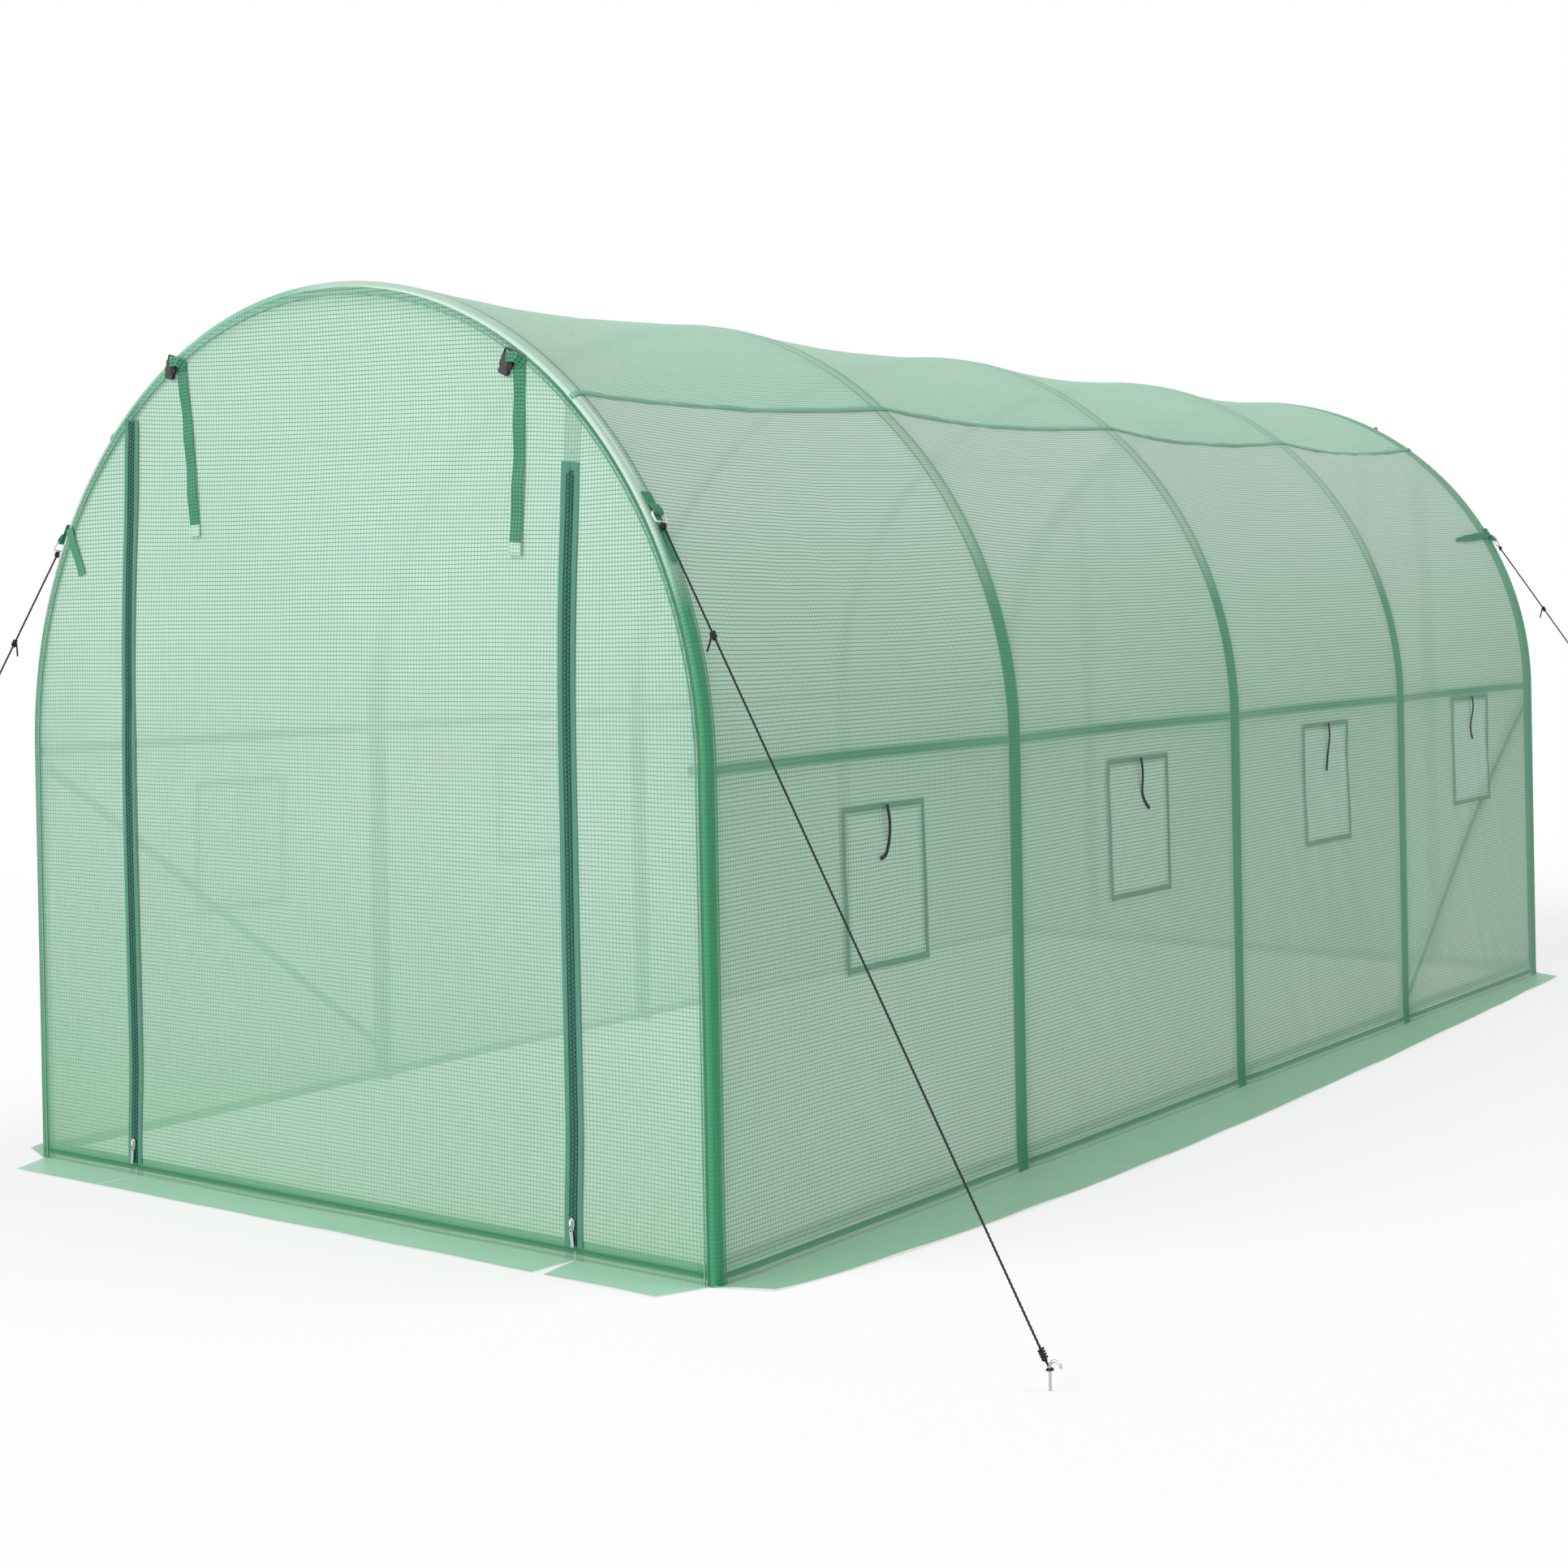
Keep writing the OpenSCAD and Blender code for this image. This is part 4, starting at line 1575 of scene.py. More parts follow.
        rows, maps = [], []
        for x in xs:
            rows.append([skirt_point(x, out) for out in outs] + [wall_point(x, up) for up in ups])
            maps.append([(x, -out) for out in outs] + [(x, up * self.rim(x)) for up in ups])
        shape = Shape(self.turn)
        shape.grid(rows, maps, lambda i, j: 1 if j < len(outs) else 0)
        piece = stand_in(shape, f"{self.name}_{part}_panel", "film", film, skirt)
        wide, tall = high - low, max(self.rim(x) for x in xs) + t.end_skirt
        area = sum((self.rim(a) + self.rim(b)) / 2 * (b - a) for a, b in zip(xs, xs[1:])) + wide * t.end_skirt
        min(area, wide * tall)

    def panels(self, film: Material, skirt: Material) -> None:
        """Builds the two fixed panels and the door.

        Args:
            film: Finish of the panels.
            skirt: Finish of their skirts.
        """
        edge, inside, outside = self.tunnel.bow, self.zip_x - self.slit, self.zip_x + self.slit
        corner, split, closed = self.skirt_corner, self.skirt_split, self.skirt_closed
        self.panel("left", -edge, -outside, film, skirt, (corner, closed))
        self.panel("door", -inside, inside, film, skirt, (closed, split))
        self.panel("right", outside, edge, film, skirt, (split, corner))

    def welt(self, tape: Material) -> None:
        """Adds the sewn edge where the end panels meet the cover.

        Args:
            tape: Finish of the welt.
        """
        t, r, y = self.tunnel, self.tunnel.bow - self.sleeve, -self.tunnel.end - self.welt_lift
        bow = [t.bow_point(r, math.radians(a), y) for a in range(0, 181, 3)]
        heights = (self.welt_foot, t.leg / 2)
        rising, falling = ([Vector((hand * r, y, z)) for z in heights] for hand in (1, -1))
        shape = Shape(self.turn)
        shape.sweep([*rising, *bow, *falling[::-1]], circle(self.welt_radius, 8), -Y_AXIS)
        seat(shape.build(f"{self.name}_corner_seam", (tape,)), "roof_cover")

    def zip_line(self, side: int, z: float) -> float:
        """Width at which a zip runs, with its slight wander."""
        return side * self.zip_x + self.pull(z) + 0.004 * wander(z * 1.7, 0.0, 71.0 + side)

    def zips(self, tape: Material, coil: Material) -> None:
        """Builds both zips: two woven tapes, bead cords and a row of interlocked teeth.

        Args:
            tape: Finish of the tapes.
            coil: Finish of the cords and teeth.
        """
        shape, half = Shape(self.turn), self.coil_width / 2
        gap, wide = self.tape_gap, self.zip_width / 2 - self.tape_gap
        strip = [(gap, -0.0006), (wide, -0.0006), (wide, 0.0003), (wide - 0.003, 0.0007), (gap, 0.0007)]
        tooth = round_box(self.coil_width * 0.60, self.tooth_pitch * 0.82, 0.001, 2)
        for side in HANDS:
            top = self.rim(self.zip_line(side, self.pull_to) + side * self.zip_width / 2) - self.zip_top
            stop = top if side < 0 else top - self.right_zip_short
            zs = stations([self.zip_foot, top], self.zip_step)
            taped, corded = ([z for z in zs if z <= end] for end in (stop + self.tape_over, stop))
            path = [self.face(self.zip_line(side, z), z, self.zip_lift) for z in taped]
            for hand in HANDS:
                shape.sweep(path, strip if hand > 0 else mirrored(strip), X_AXIS)
                cord = [self.face(self.zip_line(side, z) + hand * half, z, self.bead_lift) for z in corded]
                shape.sweep(cord, circle(self.bead, 6), X_AXIS, 1)
            for k in range(int((stop - self.zip_foot) / self.tooth_pitch)):
                z, hand = self.zip_foot + (k + 0.5) * self.tooth_pitch, 1 if k % 2 else -1
                centre = self.face(self.zip_line(side, z) + hand * half * 0.38, z, self.tooth_lift)
                shape.plate(tooth, self.tooth_rise, 0.0005, Matrix.Translation(centre) @ STOOD_UP, 1)
        stand_in(shape, f"{self.name}_zips", "sewn", tape, coil)

    def sliders(self, metal: Material) -> None:
        """Builds the sliders: a flared body, a bridge and a pull tab with an eye.

        Args:
            metal: Finish of the sliders.
        """
        shape, z, thick = Shape(self.turn), self.zip_foot + self.slider_height, self.slider_thick
        half = [(0.0045, -0.010), (0.0072, 0.004), (0.0066, 0.011), (0.002, 0.0155)]
        arch = [Vector((0, -thick - 0.0042 * math.sin(math.pi * k), 0.011 - 0.018 * k)) for k in shares(8)]
        tab = round_box(0.0085, 0.036, 0.003)
        eye = [(a, b + 0.0135) for a, b in circle(0.0022, len(tab), math.pi / 4)]
        for side in HANDS:
            base = self.face(self.zip_line(side, z), z, self.slider_lift)
            stand = Matrix.Translation(base) @ STOOD_UP
            shape.plate(half + mirrored(half), thick, 0.0006, stand)
            shape.sweep([base + p for p in arch], round_box(0.0036, 0.0016, 0.0005, 2), X_AXIS)
            hang = Matrix.Translation((0.0012 * side, -0.023, 0.0034)) @ Matrix.Rotation(0.10 * side, 4, "Z")
            shape.plate(tab, 0.0015, 0.0003, stand @ hang, hole=eye)
        stand_in(shape, f"{self.name}_zip_sliders", "cast", metal)

    def strap_spot(self, side: int, across: float, down: float, lift: float) -> Vector:
        """A point in front of the panel, measured from a door strap's upper end.

        Args:
            side: -1 for the left strap, 1 for the right.
            across: Distance to the right of the strap's middle.
            down: Distance along its lean.
            lift: Distance in front of the panel.

        Returns:
            The point.
        """
        t, x = self.tunnel, side * self.strap_x + self.strap_shift
        top = t.leg + math.sqrt(t.half_width ** 2 - x ** 2) - self.strap_inset
        c, s = math.cos(side * self.strap_lean), math.sin(side * self.strap_lean)
        return self.face(x + across * c - down * s, top - across * s - down * c, lift)

    def strap_hang(self, side: int, down: float) -> Vector:
        """A point of a strap's middle, which swings a little clear of the door.

        Args:
            side: -1 for the left strap, 1 for the right.
            down: Distance along the strap.

        Returns:
            The point.
        """
        share = down / self.strap_length
        swing = 0.003 * ease(share) + 0.0015 * math.sin(share * 20 + side)
        return self.strap_spot(side, 0.0, down, self.strap_lift + swing)

    def fringe(self, shape: Shape, foot: Vector) -> None:
        """Adds the frayed threads at the foot of a strap.

        Args:
            shape: The straps.
            foot: Middle of the strap's lower end.
        """
        half = self.strap_width / 2
        for k in range(self.fringe_threads):
            start = foot + Vector((half * (k - 4) / 4.4, 0, 0.004))
            drop = -0.011 - 0.003 * math.sin(k * 1.7)
            tip = start + Vector((0.0015 * math.sin(k * 2.1), 0.0006 * math.cos(k), drop))
            shape.sweep([start, (start + tip) / 2 + X_AXIS * 0.0006, tip], circle(0.0007, 5), X_AXIS, 1)

    def straps(self, webbing: Material, stitched: Material) -> None:
        """Builds the door straps: a hanging tape, its stitched end and the fold through its buckle.

        Args:
            webbing: Finish of the tapes.
            stitched: Finish of their lower ends.
        """
        shape, half, middle = Shape(self.turn), self.strap_width / 2, self.fold_height / 2
        tape = flat_strip(self.strap_width, self.strap_thick)
        joint, reach = self.strap_length - self.strap_end, self.strap_width + self.buckle_width * 0.25
        for side in HANDS:
            shape.sweep([self.strap_hang(side, down) for down in shares(38, joint)], tape, X_AXIS)
            end = [self.strap_hang(side, joint + down) for down in shares(4, self.strap_end)]
            shape.sweep(end, tape, X_AXIS, 1)
            self.fringe(shape, end[-1])
            fold = [self.strap_spot(side, half - reach * k / 12, middle - 0.013 * ease(k / 6),
                                    0.0034 + 0.0130 * ease(k / 5)) for k in range(13)]
            shape.sweep(fold, flat_strip(self.fold_height, self.fold_thick), Z_AXIS)
        stand_in(shape, f"{self.name}_door_straps", "webbing", webbing, stitched)

    def buckles(self, plastic: Material) -> None:
        """Builds the side-release buckles: a waisted shell, two prongs and a webbing bar.

        Args:
            plastic: Finish of the buckles.
        """
        shape, w, h, thick = Shape(self.turn), self.buckle_width, self.buckle_height, self.buckle_thick
        half = [(w * a, h * b) for a, b in (
            (0.30, -0.50), (0.42, -0.40), (0.36, -0.14), (0.38, 0.10), (0.46, 0.16), (0.46, 0.34),
            (0.40, 0.42))]
        prong = [(w * a, h * b) for a, b in (
            (0.36, -0.22), (0.49, -0.16), (0.50, 0.02), (0.44, 0.12), (0.36, 0.10))]
        pad, bar = round_box(w * 0.5, h * 0.46, 0.004), round_box(w * 0.94, h * 0.30, 0.003)
        for side in HANDS:
            base = self.strap_spot(side, -self.strap_width, self.fold_height / 2, self.buckle_lift)
            tilt = Matrix.Rotation(-self.buckle_tilt - side * self.strap_lean, 4, "Z")
            stand = Matrix.Translation(base) @ STOOD_UP @ tilt
            shape.plate(half + mirrored(half), thick, 0.0018, stand)
            shape.plate(pad, 0.0012, 0.0005, stand @ Matrix.Translation((0, -h * 0.06, thick)))
            for line in (mirrored(prong), prong):
                shape.plate(line, 0.0065, 0.0012, stand @ Matrix.Translation((0, 0, 0.0015)))
            shape.plate(bar, 0.0050, 0.0010, stand @ Matrix.Translation((0, h * 0.50, 0.001)),
                        hole=round_box(w * 0.80, h * 0.12, 0.0015))
        stand_in(shape, f"{self.name}_strap_buckles", "moulded", plastic)


@dataclass(frozen=True)
class Windows:
    """The roll-up windows of one side: hemmed flaps, insect mesh and hanging ties."""

    tunnel: Tunnel
    side: str
    sign: int
    hem: float = 0.014
    hem_fold: float = 0.002
    hem_rise: float = 0.0010
    flap_step: float = 0.018
    flap_lift: float = 0.0033
    flap_slack: float = 0.0045
    screen_step: float = 0.025
    screen_inset: float = 0.006
    screen_back: float = 0.0016
    tie_width: float = 0.009
    tie_thick: float = 0.0012
    tie_length: float = 0.135
    tie_lift: float = 0.0105
    tie_shift: float = 0.006
    tie_drop: float = 0.004
    tie_steps: int = 36
    curl_from: float = 0.45
    curls: tuple[Pair, ...] = ((0.12, -1.7), (0.10, 0.7), (0.02, -0.5), (-0.05, 0.2))

    def skin(self, y: float, s: float, lift: float) -> Vector:
        """A point off this side's wall by a lift, as on the right side."""
        return self.tunnel.skin(y, s, lift, self.tunnel.wall_seed(self.sign))

    def sheets(self, us: Sequence[float], vs: Sequence[float],
               point: Callable[[int, float, float], Vector]) -> Shape:
        """Makes one sheet to a bay.

        Args:
            us: Stations across a sheet.
            vs: Stations up a sheet.
            point: Gives the point of a bay's sheet at a station across and up it.

        Returns:
            The sheets.
        """
        shape = Shape(Matrix.Scale(self.sign, 4, X_AXIS))
        for bay in range(self.tunnel.bays):
            shape.grid([[point(bay, u, v) for v in vs] for u in us], [[(u, v) for v in vs] for u in us])
        return shape

    def flap_film(self) -> Material:
        """The flaps' film, doubled along its four hems.

        Returns:
            The material.
        """
        t = self.tunnel
        sides = [(BandAxis.ALONG, s * (t.window_width - self.hem) / 2) for s in HANDS]
        sides += [(BandAxis.AROUND, self.hem / 2), (BandAxis.AROUND, t.window_height - self.hem / 2)]
        bands = [FilmBand(axis, at, self.hem, strength=0.85, soft=0.004) for axis, at in sides]
        return RipstopFilm(
            f"{self.side}_flap_film", tuple(bands), pane_clear=0.16, pane=(0.46, 0.84, 0.62),
            foot=(0.46, 0.82, 0.61), sewn=(0.075, 0.240, 0.145)).make()

    def hemmed(self, low: float, high: float) -> list[float]:
        """Stations from edge to edge of a flap, close together at its hems."""
        first, last = low + self.hem, high - self.hem
        return stations([low, first, first + self.hem_fold, last - self.hem_fold, last, high], self.flap_step)

    def flap_point(self, bay: int, u: float, v: float) -> Vector:
        """A point of a flap, which is sewn down at its hems and slack between them.

        Args:
            bay: Number of the bay.
            u: Place across the flap, from its middle.
            v: Height above its lower edge.

        Returns:
            The point.
        """
        t = self.tunnel
        inner = min(t.window_width / 2 - abs(u), v, t.window_height - v)
        rise = self.hem_rise if inner < self.hem + self.hem_fold / 4 else 0.0
        puff = 0.6 + 0.4 * wander(u * 9.0, v * 7.0, bay * 3.0 + self.sign)
        slack = self.flap_slack * ease((inner - self.hem) / 0.08) * puff
        return self.skin(t.window_y(bay) + u, t.window_foot(bay) + v, self.flap_lift + rise + slack)

    def flaps(self) -> None:
        t, half = self.tunnel, self.tunnel.window_width / 2
        shape = self.sheets(self.hemmed(-half, half), self.hemmed(0.0, t.window_height), self.flap_point)
        piece = stand_in(shape, f"{self.side}_window_flaps", "film", self.flap_film())

    def screen_point(self, bay: int, u: float, v: float) -> Vector:
        """A point of a screen, across from its middle and up from its lower edge."""
        t = self.tunnel
        return self.skin(t.window_y(bay) + u, t.window_foot(bay) + self.screen_inset + v, -self.screen_back)

    def screens(self, mesh: Material) -> None:
        """Args:
            mesh: Finish of the screens.
        """
        t, step = self.tunnel, self.screen_step
        wide, tall = (size - 2 * self.screen_inset for size in (t.window_width, t.window_height))
        us, vs = stations([-wide / 2, wide / 2], step), stations([0.0, tall], step)
        shape = self.sheets(us, vs, self.screen_point)
        piece = stand_in(shape, f"{self.side}_window_screens", "mesh", mesh)
        t.bays * wide

    def ties(self, tape: Material) -> None:
        """Builds the tapes that hang from the flaps' upper hems and curl at their ends.

        Args:
            tape: Finish of the ties.
        """
        t, shape = self.tunnel, Shape(Matrix.Scale(self.sign, 4, X_AXIS))
        step = self.tie_length / self.tie_steps
        for bay in range(t.bays):
            heading, turn = self.curls[bay % len(self.curls)]
            y, z = t.window_y(bay) + self.tie_shift, t.window_foot(bay) + t.window_height - self.tie_drop
            line = []
            for k in range(self.tie_steps + 1):
                line.append(self.skin(y, z, self.tie_lift + 0.003 * math.sin(k * 0.18)))
                now = heading + turn * ease((k / self.tie_steps - self.curl_from) / (1.0 - self.curl_from))
                y, z = y + math.sin(now) * step, z - math.cos(now) * step
            ahead = [b - a for a, b in zip(line, [*line[1:], 2 * line[-1] - line[-2]])]
            shape.sweep(line, flat_strip(self.tie_width, self.tie_thick), [v.cross(X_AXIS) for v in ahead])
        stand_in(shape, f"{self.side}_window_ties", "tape", tape)


@dataclass(frozen=True)
class Guys:
    """The four guy ropes with their sewn straps, rings and ground stakes."""

    tunnel: Tunnel
    angle: float = math.radians(30.0)
    out: float = 0.800
    reach: float = 0.170
    rope: float = 0.005
    rope_step: float = 0.0035
    rope_lay: float = 0.024
    wire: float = 0.005
    stand_off: float = 0.0066
    strap_length: float = 0.024
    strap_width: float = 0.028
    strap_thick: float = 0.0016
    strap_lift: float = 0.0024
    strap_back: float = 0.020
    ring_length: float = 0.026
    ring_wire: float = 0.004
    ring_corner: float = 0.005
    ring_gap: float = 0.0006
    stake_height: float = 0.034
    knot_share: float = 0.15
    coil_points: int = 14
    tail_length: float = 0.115
    tail_thick: float = 0.0014
    tail_lift: float = 0.0035

    @property
    def start(self) -> Vector:
        """Where the front right strap is sewn on."""
        t = self.tunnel
        return t.bow_point(t.radius + self.stand_off, self.angle, t.hoop_y(0))

    @property
    def stop(self) -> Vector:
        """Where the front right rope meets its stake."""
        t = self.tunnel
        return Vector((t.half_width + self.out, -t.half_length - self.reach, self.stake_height))

    @property
    def axes(self) -> tuple[Vector, Vector, Vector]:
        """Unit vectors down the rope, along the tunnel and out from both."""
        down = (self.stop - self.start).normalized()
        along = (Y_AXIS - down * down.y).normalized()
        return down, along, down.cross(along)

    def four(self, node: str, suffix: str, draw: Callable[[Shape], None], material: Material) -> None:
        """Draws the front right piece at all four corners, as one object.

        Args:
            node: The CAD node that it stands for.
            suffix: End of the piece's name.
            draw: Adds the front right piece to a shape.
            material: Its finish.
        """
        whole = Shape()
        for x, y in ((1, 1), (1, -1), (-1, 1), (-1, -1)):
            part = Shape(Matrix.Diagonal((x, y, 1, 1)))
            draw(part)
            if x * y < 0:
                part.flip()
            first = whole.add_points(part.points)
            for face, uvs in zip(part.faces, part.maps):
                whole.add_face([first + corner for corner in face], uvs)
        stand_in(whole, node, suffix, material)

    def draw_strap(self, shape: Shape) -> None:
        """Webbing sewn to the film, turned round the ring and back on itself.

        Args:
            shape: Takes the strap.
        """
        (down, along, out), t = self.axes, self.tunnel
        loop = self.ring_wire * 0.5 + 0.0014
        bend, straight = self.start + down * self.strap_length, self.strap_length - loop
        sewn = [self.angle + math.radians(1.5 - 0.25 * k) for k in range(7)]
        line = [t.bow_point(t.radius + self.strap_lift, a, self.start.y) for a in sewn]
        line += [self.start + down * straight * k + out * loop * ease(k) for k in shares(6)[1:]]
        line += [bend + (out * math.cos(a) + down * math.sin(a)) * loop for a in shares(10, math.pi)[1:]]
        line += [bend - out * (loop - 0.0006) - down * back for back in shares(5, self.strap_back)[1:]]
        shape.sweep(line, flat_strip(self.strap_width, self.strap_thick), along)

    def tails(self, webbing: Material) -> None:
        """Adds the loose ends of three straps: on the front panel, the right side and the front hoop.

        Args:
            webbing: Finish of the loose ends.
        """
        t, shape = self.tunnel, Shape()
        tape = flat_strip(self.strap_width * 0.84, self.tail_thick)
        past, slack = math.radians(1.5), math.radians(0.7)
        foot = t.bow_point(t.bow, math.pi - self.angle - past, -t.end - self.tail_lift)
        drop = Vector((0.35, 0.0, -0.94)) * self.tail_length
        hung = [foot + drop * k / 8 - Y_AXIS * 0.002 * math.sin(k * 0.7) for k in range(9)]
        shape.sweep(hung, tape, Vector((0.94, 0, 0.35)))

        rear, s, run = -t.hoop_y(0), t.leg + t.radius * self.angle, self.tail_length * 2.4
        blown = [t.skin(rear - run * k / 8, s - 0.012 * k / 8, self.tail_lift + 0.004 * math.sin(k * 0.4),
                        t.wall_seed(1)) for k in range(9)]
        shape.sweep(blown, tape, Vector((-math.sin(self.angle), 0, math.cos(self.angle))),
                    taper=lambda k: 0.35 + 0.65 * math.sin(math.pi * min(1.0, 0.15 + 0.85 * k)) ** 0.7)

        laid = [t.bow_point(t.radius + self.tail_lift, self.angle - past - slack * k, self.start.y - 0.002)
                for k in range(9)]
        shape.sweep(laid, tape, Y_AXIS)
        seat(shape.build("guy_strap_tails", (webbing,)), "guy_straps")

    def draw_ring(self, shape: Shape) -> None:
        """A square ring with round corners, of moulded wire.

        Args:
            shape: Takes the ring.
        """
        down, along, out = self.axes
        wide, tall = self.strap_width + self.ring_gap + self.ring_wire, self.ring_length - self.ring_wire
        centre = self.start + down * (self.strap_length - self.ring_wire / 2 + self.ring_length / 2)
        line = [centre + along * a + down * b for a, b in round_box(wide, tall, self.ring_corner)]
        shape.sweep(line, circle(self.ring_wire / 2, 10), out, closed=True)

    def draw_rope(self, shape: Shape) -> None:
        """A laid rope from its knot at the ring to its loop round the stake, with a short tail.

        Args:
            shape: Takes the rope.
        """
        down, along, out = self.axes
        first = self.strap_length + self.ring_length - self.ring_wire
        last = (self.stop - self.start).length - self.wire / 2 - self.rope / 2
        strands = [(self.rope * (0.40 + 0.10 * math.cos(3 * a)), a) for a in shares(12, 2 * math.pi)[:-1]]
        lay = [(r * math.cos(a), r * math.sin(a)) for r, a in strands]
        steps = shares(int((last - first) / self.rope_step), last - first)
        line = [self.start + down * (first + step) for step in steps]
        shape.sweep(line, lay, along, twist=1 / self.rope_lay)
        small, knot = [(a * 0.9, b * 0.9) for a, b in lay], first + self.knot_share * (last - first)
        for base, turns in ((first + 0.006, 2), (knot, 3), (last - 0.030, 4)):
            coil = []
            for k in range(turns * self.coil_points + 1):
                turn = k / self.coil_points
                at = self.start + down * (base + self.rope * 0.95 * turn)
                side = along * math.cos(2 * math.pi * turn) + out * math.sin(2 * math.pi * turn)
                coil.append(at + side * self.rope * 0.92)
            shape.sweep(coil, small, down)
        tied, hang = self.start + down * knot, Vector((-0.010, -0.004, -0.036))
        tail = [tied + along * 0.0015 * math.sin(k / 3) + hang * (k / 8) for k in range(9)]
        shape.sweep(tail, small, out)
        ring = [self.stop + Vector((x, y, 0.12 * x)) for x, y in circle(self.wire / 2 + self.rope / 2, 16)]
        shape.sweep(ring, small, Z_AXIS, closed=True)

    def draw_stake(self, shape: Shape) -> None:
        """The hooked head of a bent wire stake.

        Args:
            shape: Takes the stake.
        """
        hook, top = 2 * self.wire, self.stake_height + self.wire
        foot = Vector((self.stop.x, self.stop.y, 0.0))
        line = [foot + Z_AXIS * z for z in shares(6, top)]
        line += [foot + Vector((hook - hook * math.cos(a), 0, top + hook * math.sin(a)))
                 for a in shares(14, math.pi)[1:]]
        shape.sweep(line, circle(self.wire / 2, 12), Y_AXIS)

    def build(self, webbing: Material, plastic: Material, rope: Material, metal: Material) -> None:
        """Builds straps, rings, ropes and stakes.

        Args:
            webbing: Finish of the straps.
            plastic: Finish of the rings.
            rope: Finish of the ropes.
            metal: Finish of the stakes.
        """
        self.four("guy_straps", "webbing", self.draw_strap, webbing)
        self.tails(webbing)
        self.four("guy_rings", "moulded", self.draw_ring, plastic)
        self.four("guy_ropes", "laid", self.draw_rope, rope)
        self.four("guy_stakes", "bent", self.draw_stake, metal)


@dataclass(frozen=True)
class Studio:
    """Camera, lamps, floor and background."""

    eye: tuple[float, float, float] = (3.7406, -5.8073, 1.2555)
    yaw: float = math.radians(37.540)
    pitch: float = math.radians(-0.427)
    roll: float = math.radians(-1.095)
    focal: float = 2988.99
    centre: Pair = (871.32, 775.95)
    sensor: float = 36.0
    ambient: float = 0.46
    key: float = 0.80
    key_toward: Colour = (-0.30, -0.84, 0.44)
    key_spread: float = 50.0
    crown: float = 0.23
    crown_toward: Colour = (0.35, 0.30, 0.90)
    crown_spread: float = 24.0
    floor_reach: float = 60.0
    floor_drop: float = 0.0005

    def camera(self) -> None:
        """Places the camera by the photograph's viewing angle."""
        data = bpy.data.cameras.new("camera")
        data.sensor_width = self.sensor
        data.lens = self.focal * self.sensor / IMAGE_SIDE
        data.shift_x = (IMAGE_SIDE / 2 - self.centre[0]) / IMAGE_SIDE
        data.shift_y = (self.centre[1] - IMAGE_SIDE / 2) / IMAGE_SIDE
        right = Vector((math.cos(self.yaw), math.sin(self.yaw), 0.0))
        ahead = Vector((-math.sin(self.yaw), math.cos(self.yaw), 0.0))
        look = ahead * math.cos(self.pitch) + Z_AXIS * math.sin(self.pitch)
        up = right.cross(look)
        c, s = math.cos(self.roll), math.sin(self.roll)
        axes = Matrix((right * c + up * s, up * c - right * s, -look)).transposed()
        camera = bpy.data.objects.new("camera", data)
        camera.matrix_world = Matrix.Translation(self.eye) @ axes.to_4x4()
        bpy.context.scene.collection.objects.link(camera)
        bpy.context.scene.camera = camera

    def lamp(self, name: str, toward: Colour, level: float, spread: float) -> None:
        """Adds a broad lamp far away.

        Args:
            name: Name of the lamp.
            toward: Direction from the tunnel to the lamp.
            level: Brightness it gives a white surface that faces it.
            spread: Angle that the lamp fills, in degrees.
        """
        data = bpy.data.lights.new(name, "SUN")
        data.energy = level * math.pi
        data.angle = math.radians(spread)
        lamp = bpy.data.objects.new(name, data)
        lamp.rotation_euler = Vector(toward).to_track_quat("Z", "Y").to_euler()
        bpy.context.scene.collection.objects.link(lamp)

    def world(self) -> None:
        """White to the camera, a plain soft light to everything else."""
        g = Graph(bpy.data.worlds.new("studio"))
        dim, white = (g.node("ShaderNodeBackground", inputs={"Color": WHITE, "Strength": level}).outputs[0]
                      for level in (self.ambient, 1.0))
        bpy.context.scene.world = g.done(g.blend(g.seen(), dim, white))

    def floor(self) -> None:
        """Adds the pale floor."""
        shape, ends = Shape(), (-self.floor_reach, self.floor_reach)
        shape.grid([[Vector((x, y, -self.floor_drop)) for y in ends] for x in ends],
                   [[(x, y) for y in ends] for x in ends])
        shape.build("studio_floor", (PaleFloor().make(),))

    def build(self) -> None:
        """Builds the whole studio."""
        self.camera()
        self.world()
        self.floor()
        self.lamp("key_lamp", self.key_toward, self.key, self.key_spread)
        self.lamp("crown_lamp", self.crown_toward, self.crown, self.crown_spread)
        bpy.context.scene.view_settings.view_transform = "Standard"


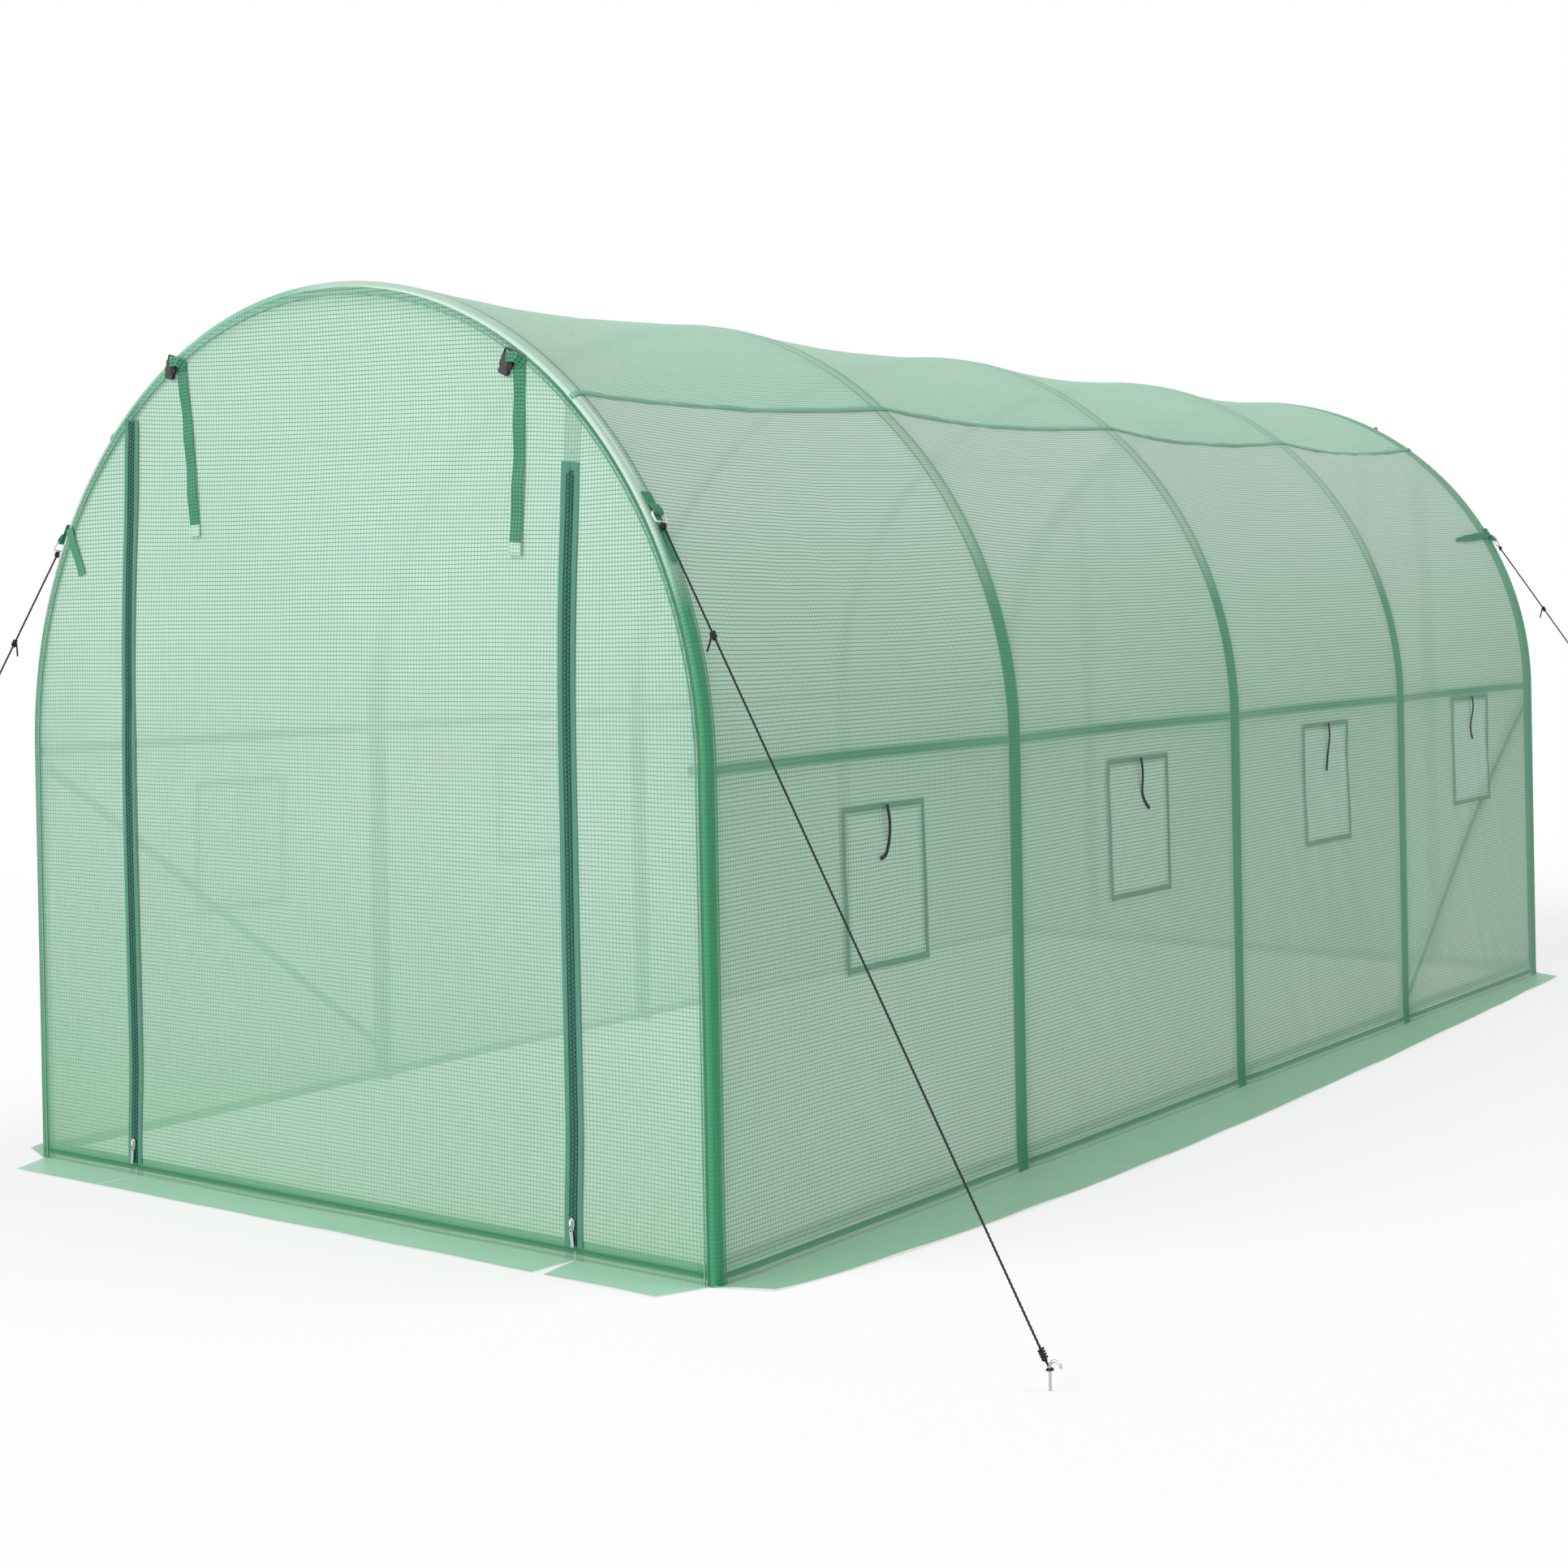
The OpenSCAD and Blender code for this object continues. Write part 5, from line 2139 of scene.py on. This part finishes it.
@dataclass(frozen=True)
class Frame:
    """The CAD tubes, kept as they are, and the bolts of their braces."""

    tunnel: Tunnel
    nodes: dict
    tubes: tuple[str, ...] = (
        "hoop_legs", "hoop_shoulders", "hoop_crowns", "left_side_rail", "right_side_rail", "left_base_rail",
        "right_base_rail", "front_base_rail", "rear_base_rail", "left_front_brace", "right_rear_brace")
    bolt_head: float = 0.010
    bolt_rise: float = 0.0045
    bolt_sunk: float = 0.0024
    bolt_inset: float = 0.0128
    washer: float = 0.0012

    def dress(self, paint: Material) -> None:
        """Paints every tube.

        Args:
            paint: Finish of the tubes.
        """
        for name in self.tubes:
            mesh = self.nodes[name].data
            mesh.materials.clear()
            mesh.materials.append(paint)
            LOG.info("%s: painted", name)

    def bolts(self, metal: Material) -> None:
        """Adds a washer and a hexagon head on each flattened brace end.

        Args:
            metal: Finish of the bolts.
        """
        far, near = -self.tunnel.hoop_y(0), -self.tunnel.hoop_y(1)
        raised = Matrix.Translation(Z_AXIS * self.washer)
        for node, sign in (("left_front_brace", -1), ("right_rear_brace", 1)):
            (low, high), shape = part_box(node), Shape()
            tab = max(vertex.co.x * sign for vertex in self.nodes[node].data.vertices)
            turn = Matrix.Rotation(-sign * math.pi / 2, 4, "Y")
            for y, z in ((far, high.z - self.bolt_inset), (near, low.z + self.bolt_inset)):
                spot = Matrix.Translation((sign * (tab - self.bolt_sunk), sign * y, z)) @ turn
                shape.plate(circle(self.bolt_head, 20), self.washer, 0.0003, spot)
                shape.plate(circle(self.bolt_head * 0.65, 6, 0.3), self.bolt_rise, 0.0006, spot @ raised)
            seat(shape.build(f"{node}_bolts", (metal,)), node)


def main() -> None:
    """Builds the tunnel around its frame, piece by piece."""
    logging.basicConfig(level=logging.INFO, format="%(name)s %(message)s")
    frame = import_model()
    tunnel = Tunnel.from_frame()
    Studio().build()

    metal = PlatedMetal().make()
    side_skirt = SkirtFilm("side_skirt_film", tunnel.skirt).make()
    end_tones = (0.330, 0.690, 0.470), (0.440, 0.790, 0.570)
    end_skirt = SkirtFilm("end_skirt_film", tunnel.end_skirt, *end_tones).make()
    tape = SeamTape().make()
    black = Moulded("black_plastic", (0.010, 0.010, 0.011), (0.022, 0.022, 0.024)).make()
    white = Moulded("white_plastic", (0.70, 0.72, 0.71), (0.82, 0.83, 0.82), 0.30).make()
    zip_tape = Webbing("zip_tape", (0.040, 0.190, 0.125), (0.130, 0.360, 0.250)).make()
    zip_coil = Moulded("zip_coil", (0.002, 0.062, 0.048), (0.005, 0.095, 0.072), 0.62).make()
    webbing = Webbing("green_webbing", (0.020, 0.185, 0.095), (0.110, 0.400, 0.240), 0.0060, thin=0.30).make()
    net_tape = NetTape("strap_tape", (0.024, 0.245, 0.118), (0.003, 0.055, 0.030)).make()
    stitched = NetTape("stitched_end", (0.420, 0.620, 0.510), (0.050, 0.150, 0.100), 0.0050).make()
    tie_tape = Webbing("black_tape", (0.003, 0.0035, 0.0035), (0.010, 0.012, 0.011)).make()

    tubes = Frame(tunnel, frame["nodes"])
    tubes.dress(PaintedSteel().make())
    tubes.bolts(metal)

    cover = Cover(tunnel)
    for side, sign in SIDES:
        cover.side(f"{side}_side_cover", sign, cover.side_film(side, sign), side_skirt)
    cover.roof(tape)

    mesh = InsectMesh().make()
    for side, sign in SIDES:
        windows = Windows(tunnel, side, sign)
        windows.flaps()
        windows.screens(mesh)
        windows.ties(tie_tape)

    for name, turned in (("front", False), ("rear", True)):
        wall = EndWall(tunnel, name, turned)
        wall.panels(wall.film(), end_skirt)
        wall.welt(tape)
        wall.zips(zip_tape, zip_coil)
        wall.sliders(metal)
        wall.straps(net_tape, stitched)
        wall.buckles(black)

    Guys(tunnel).build(webbing, white, LaidRope().make(), metal)


if __name__ == "__main__":
    main()
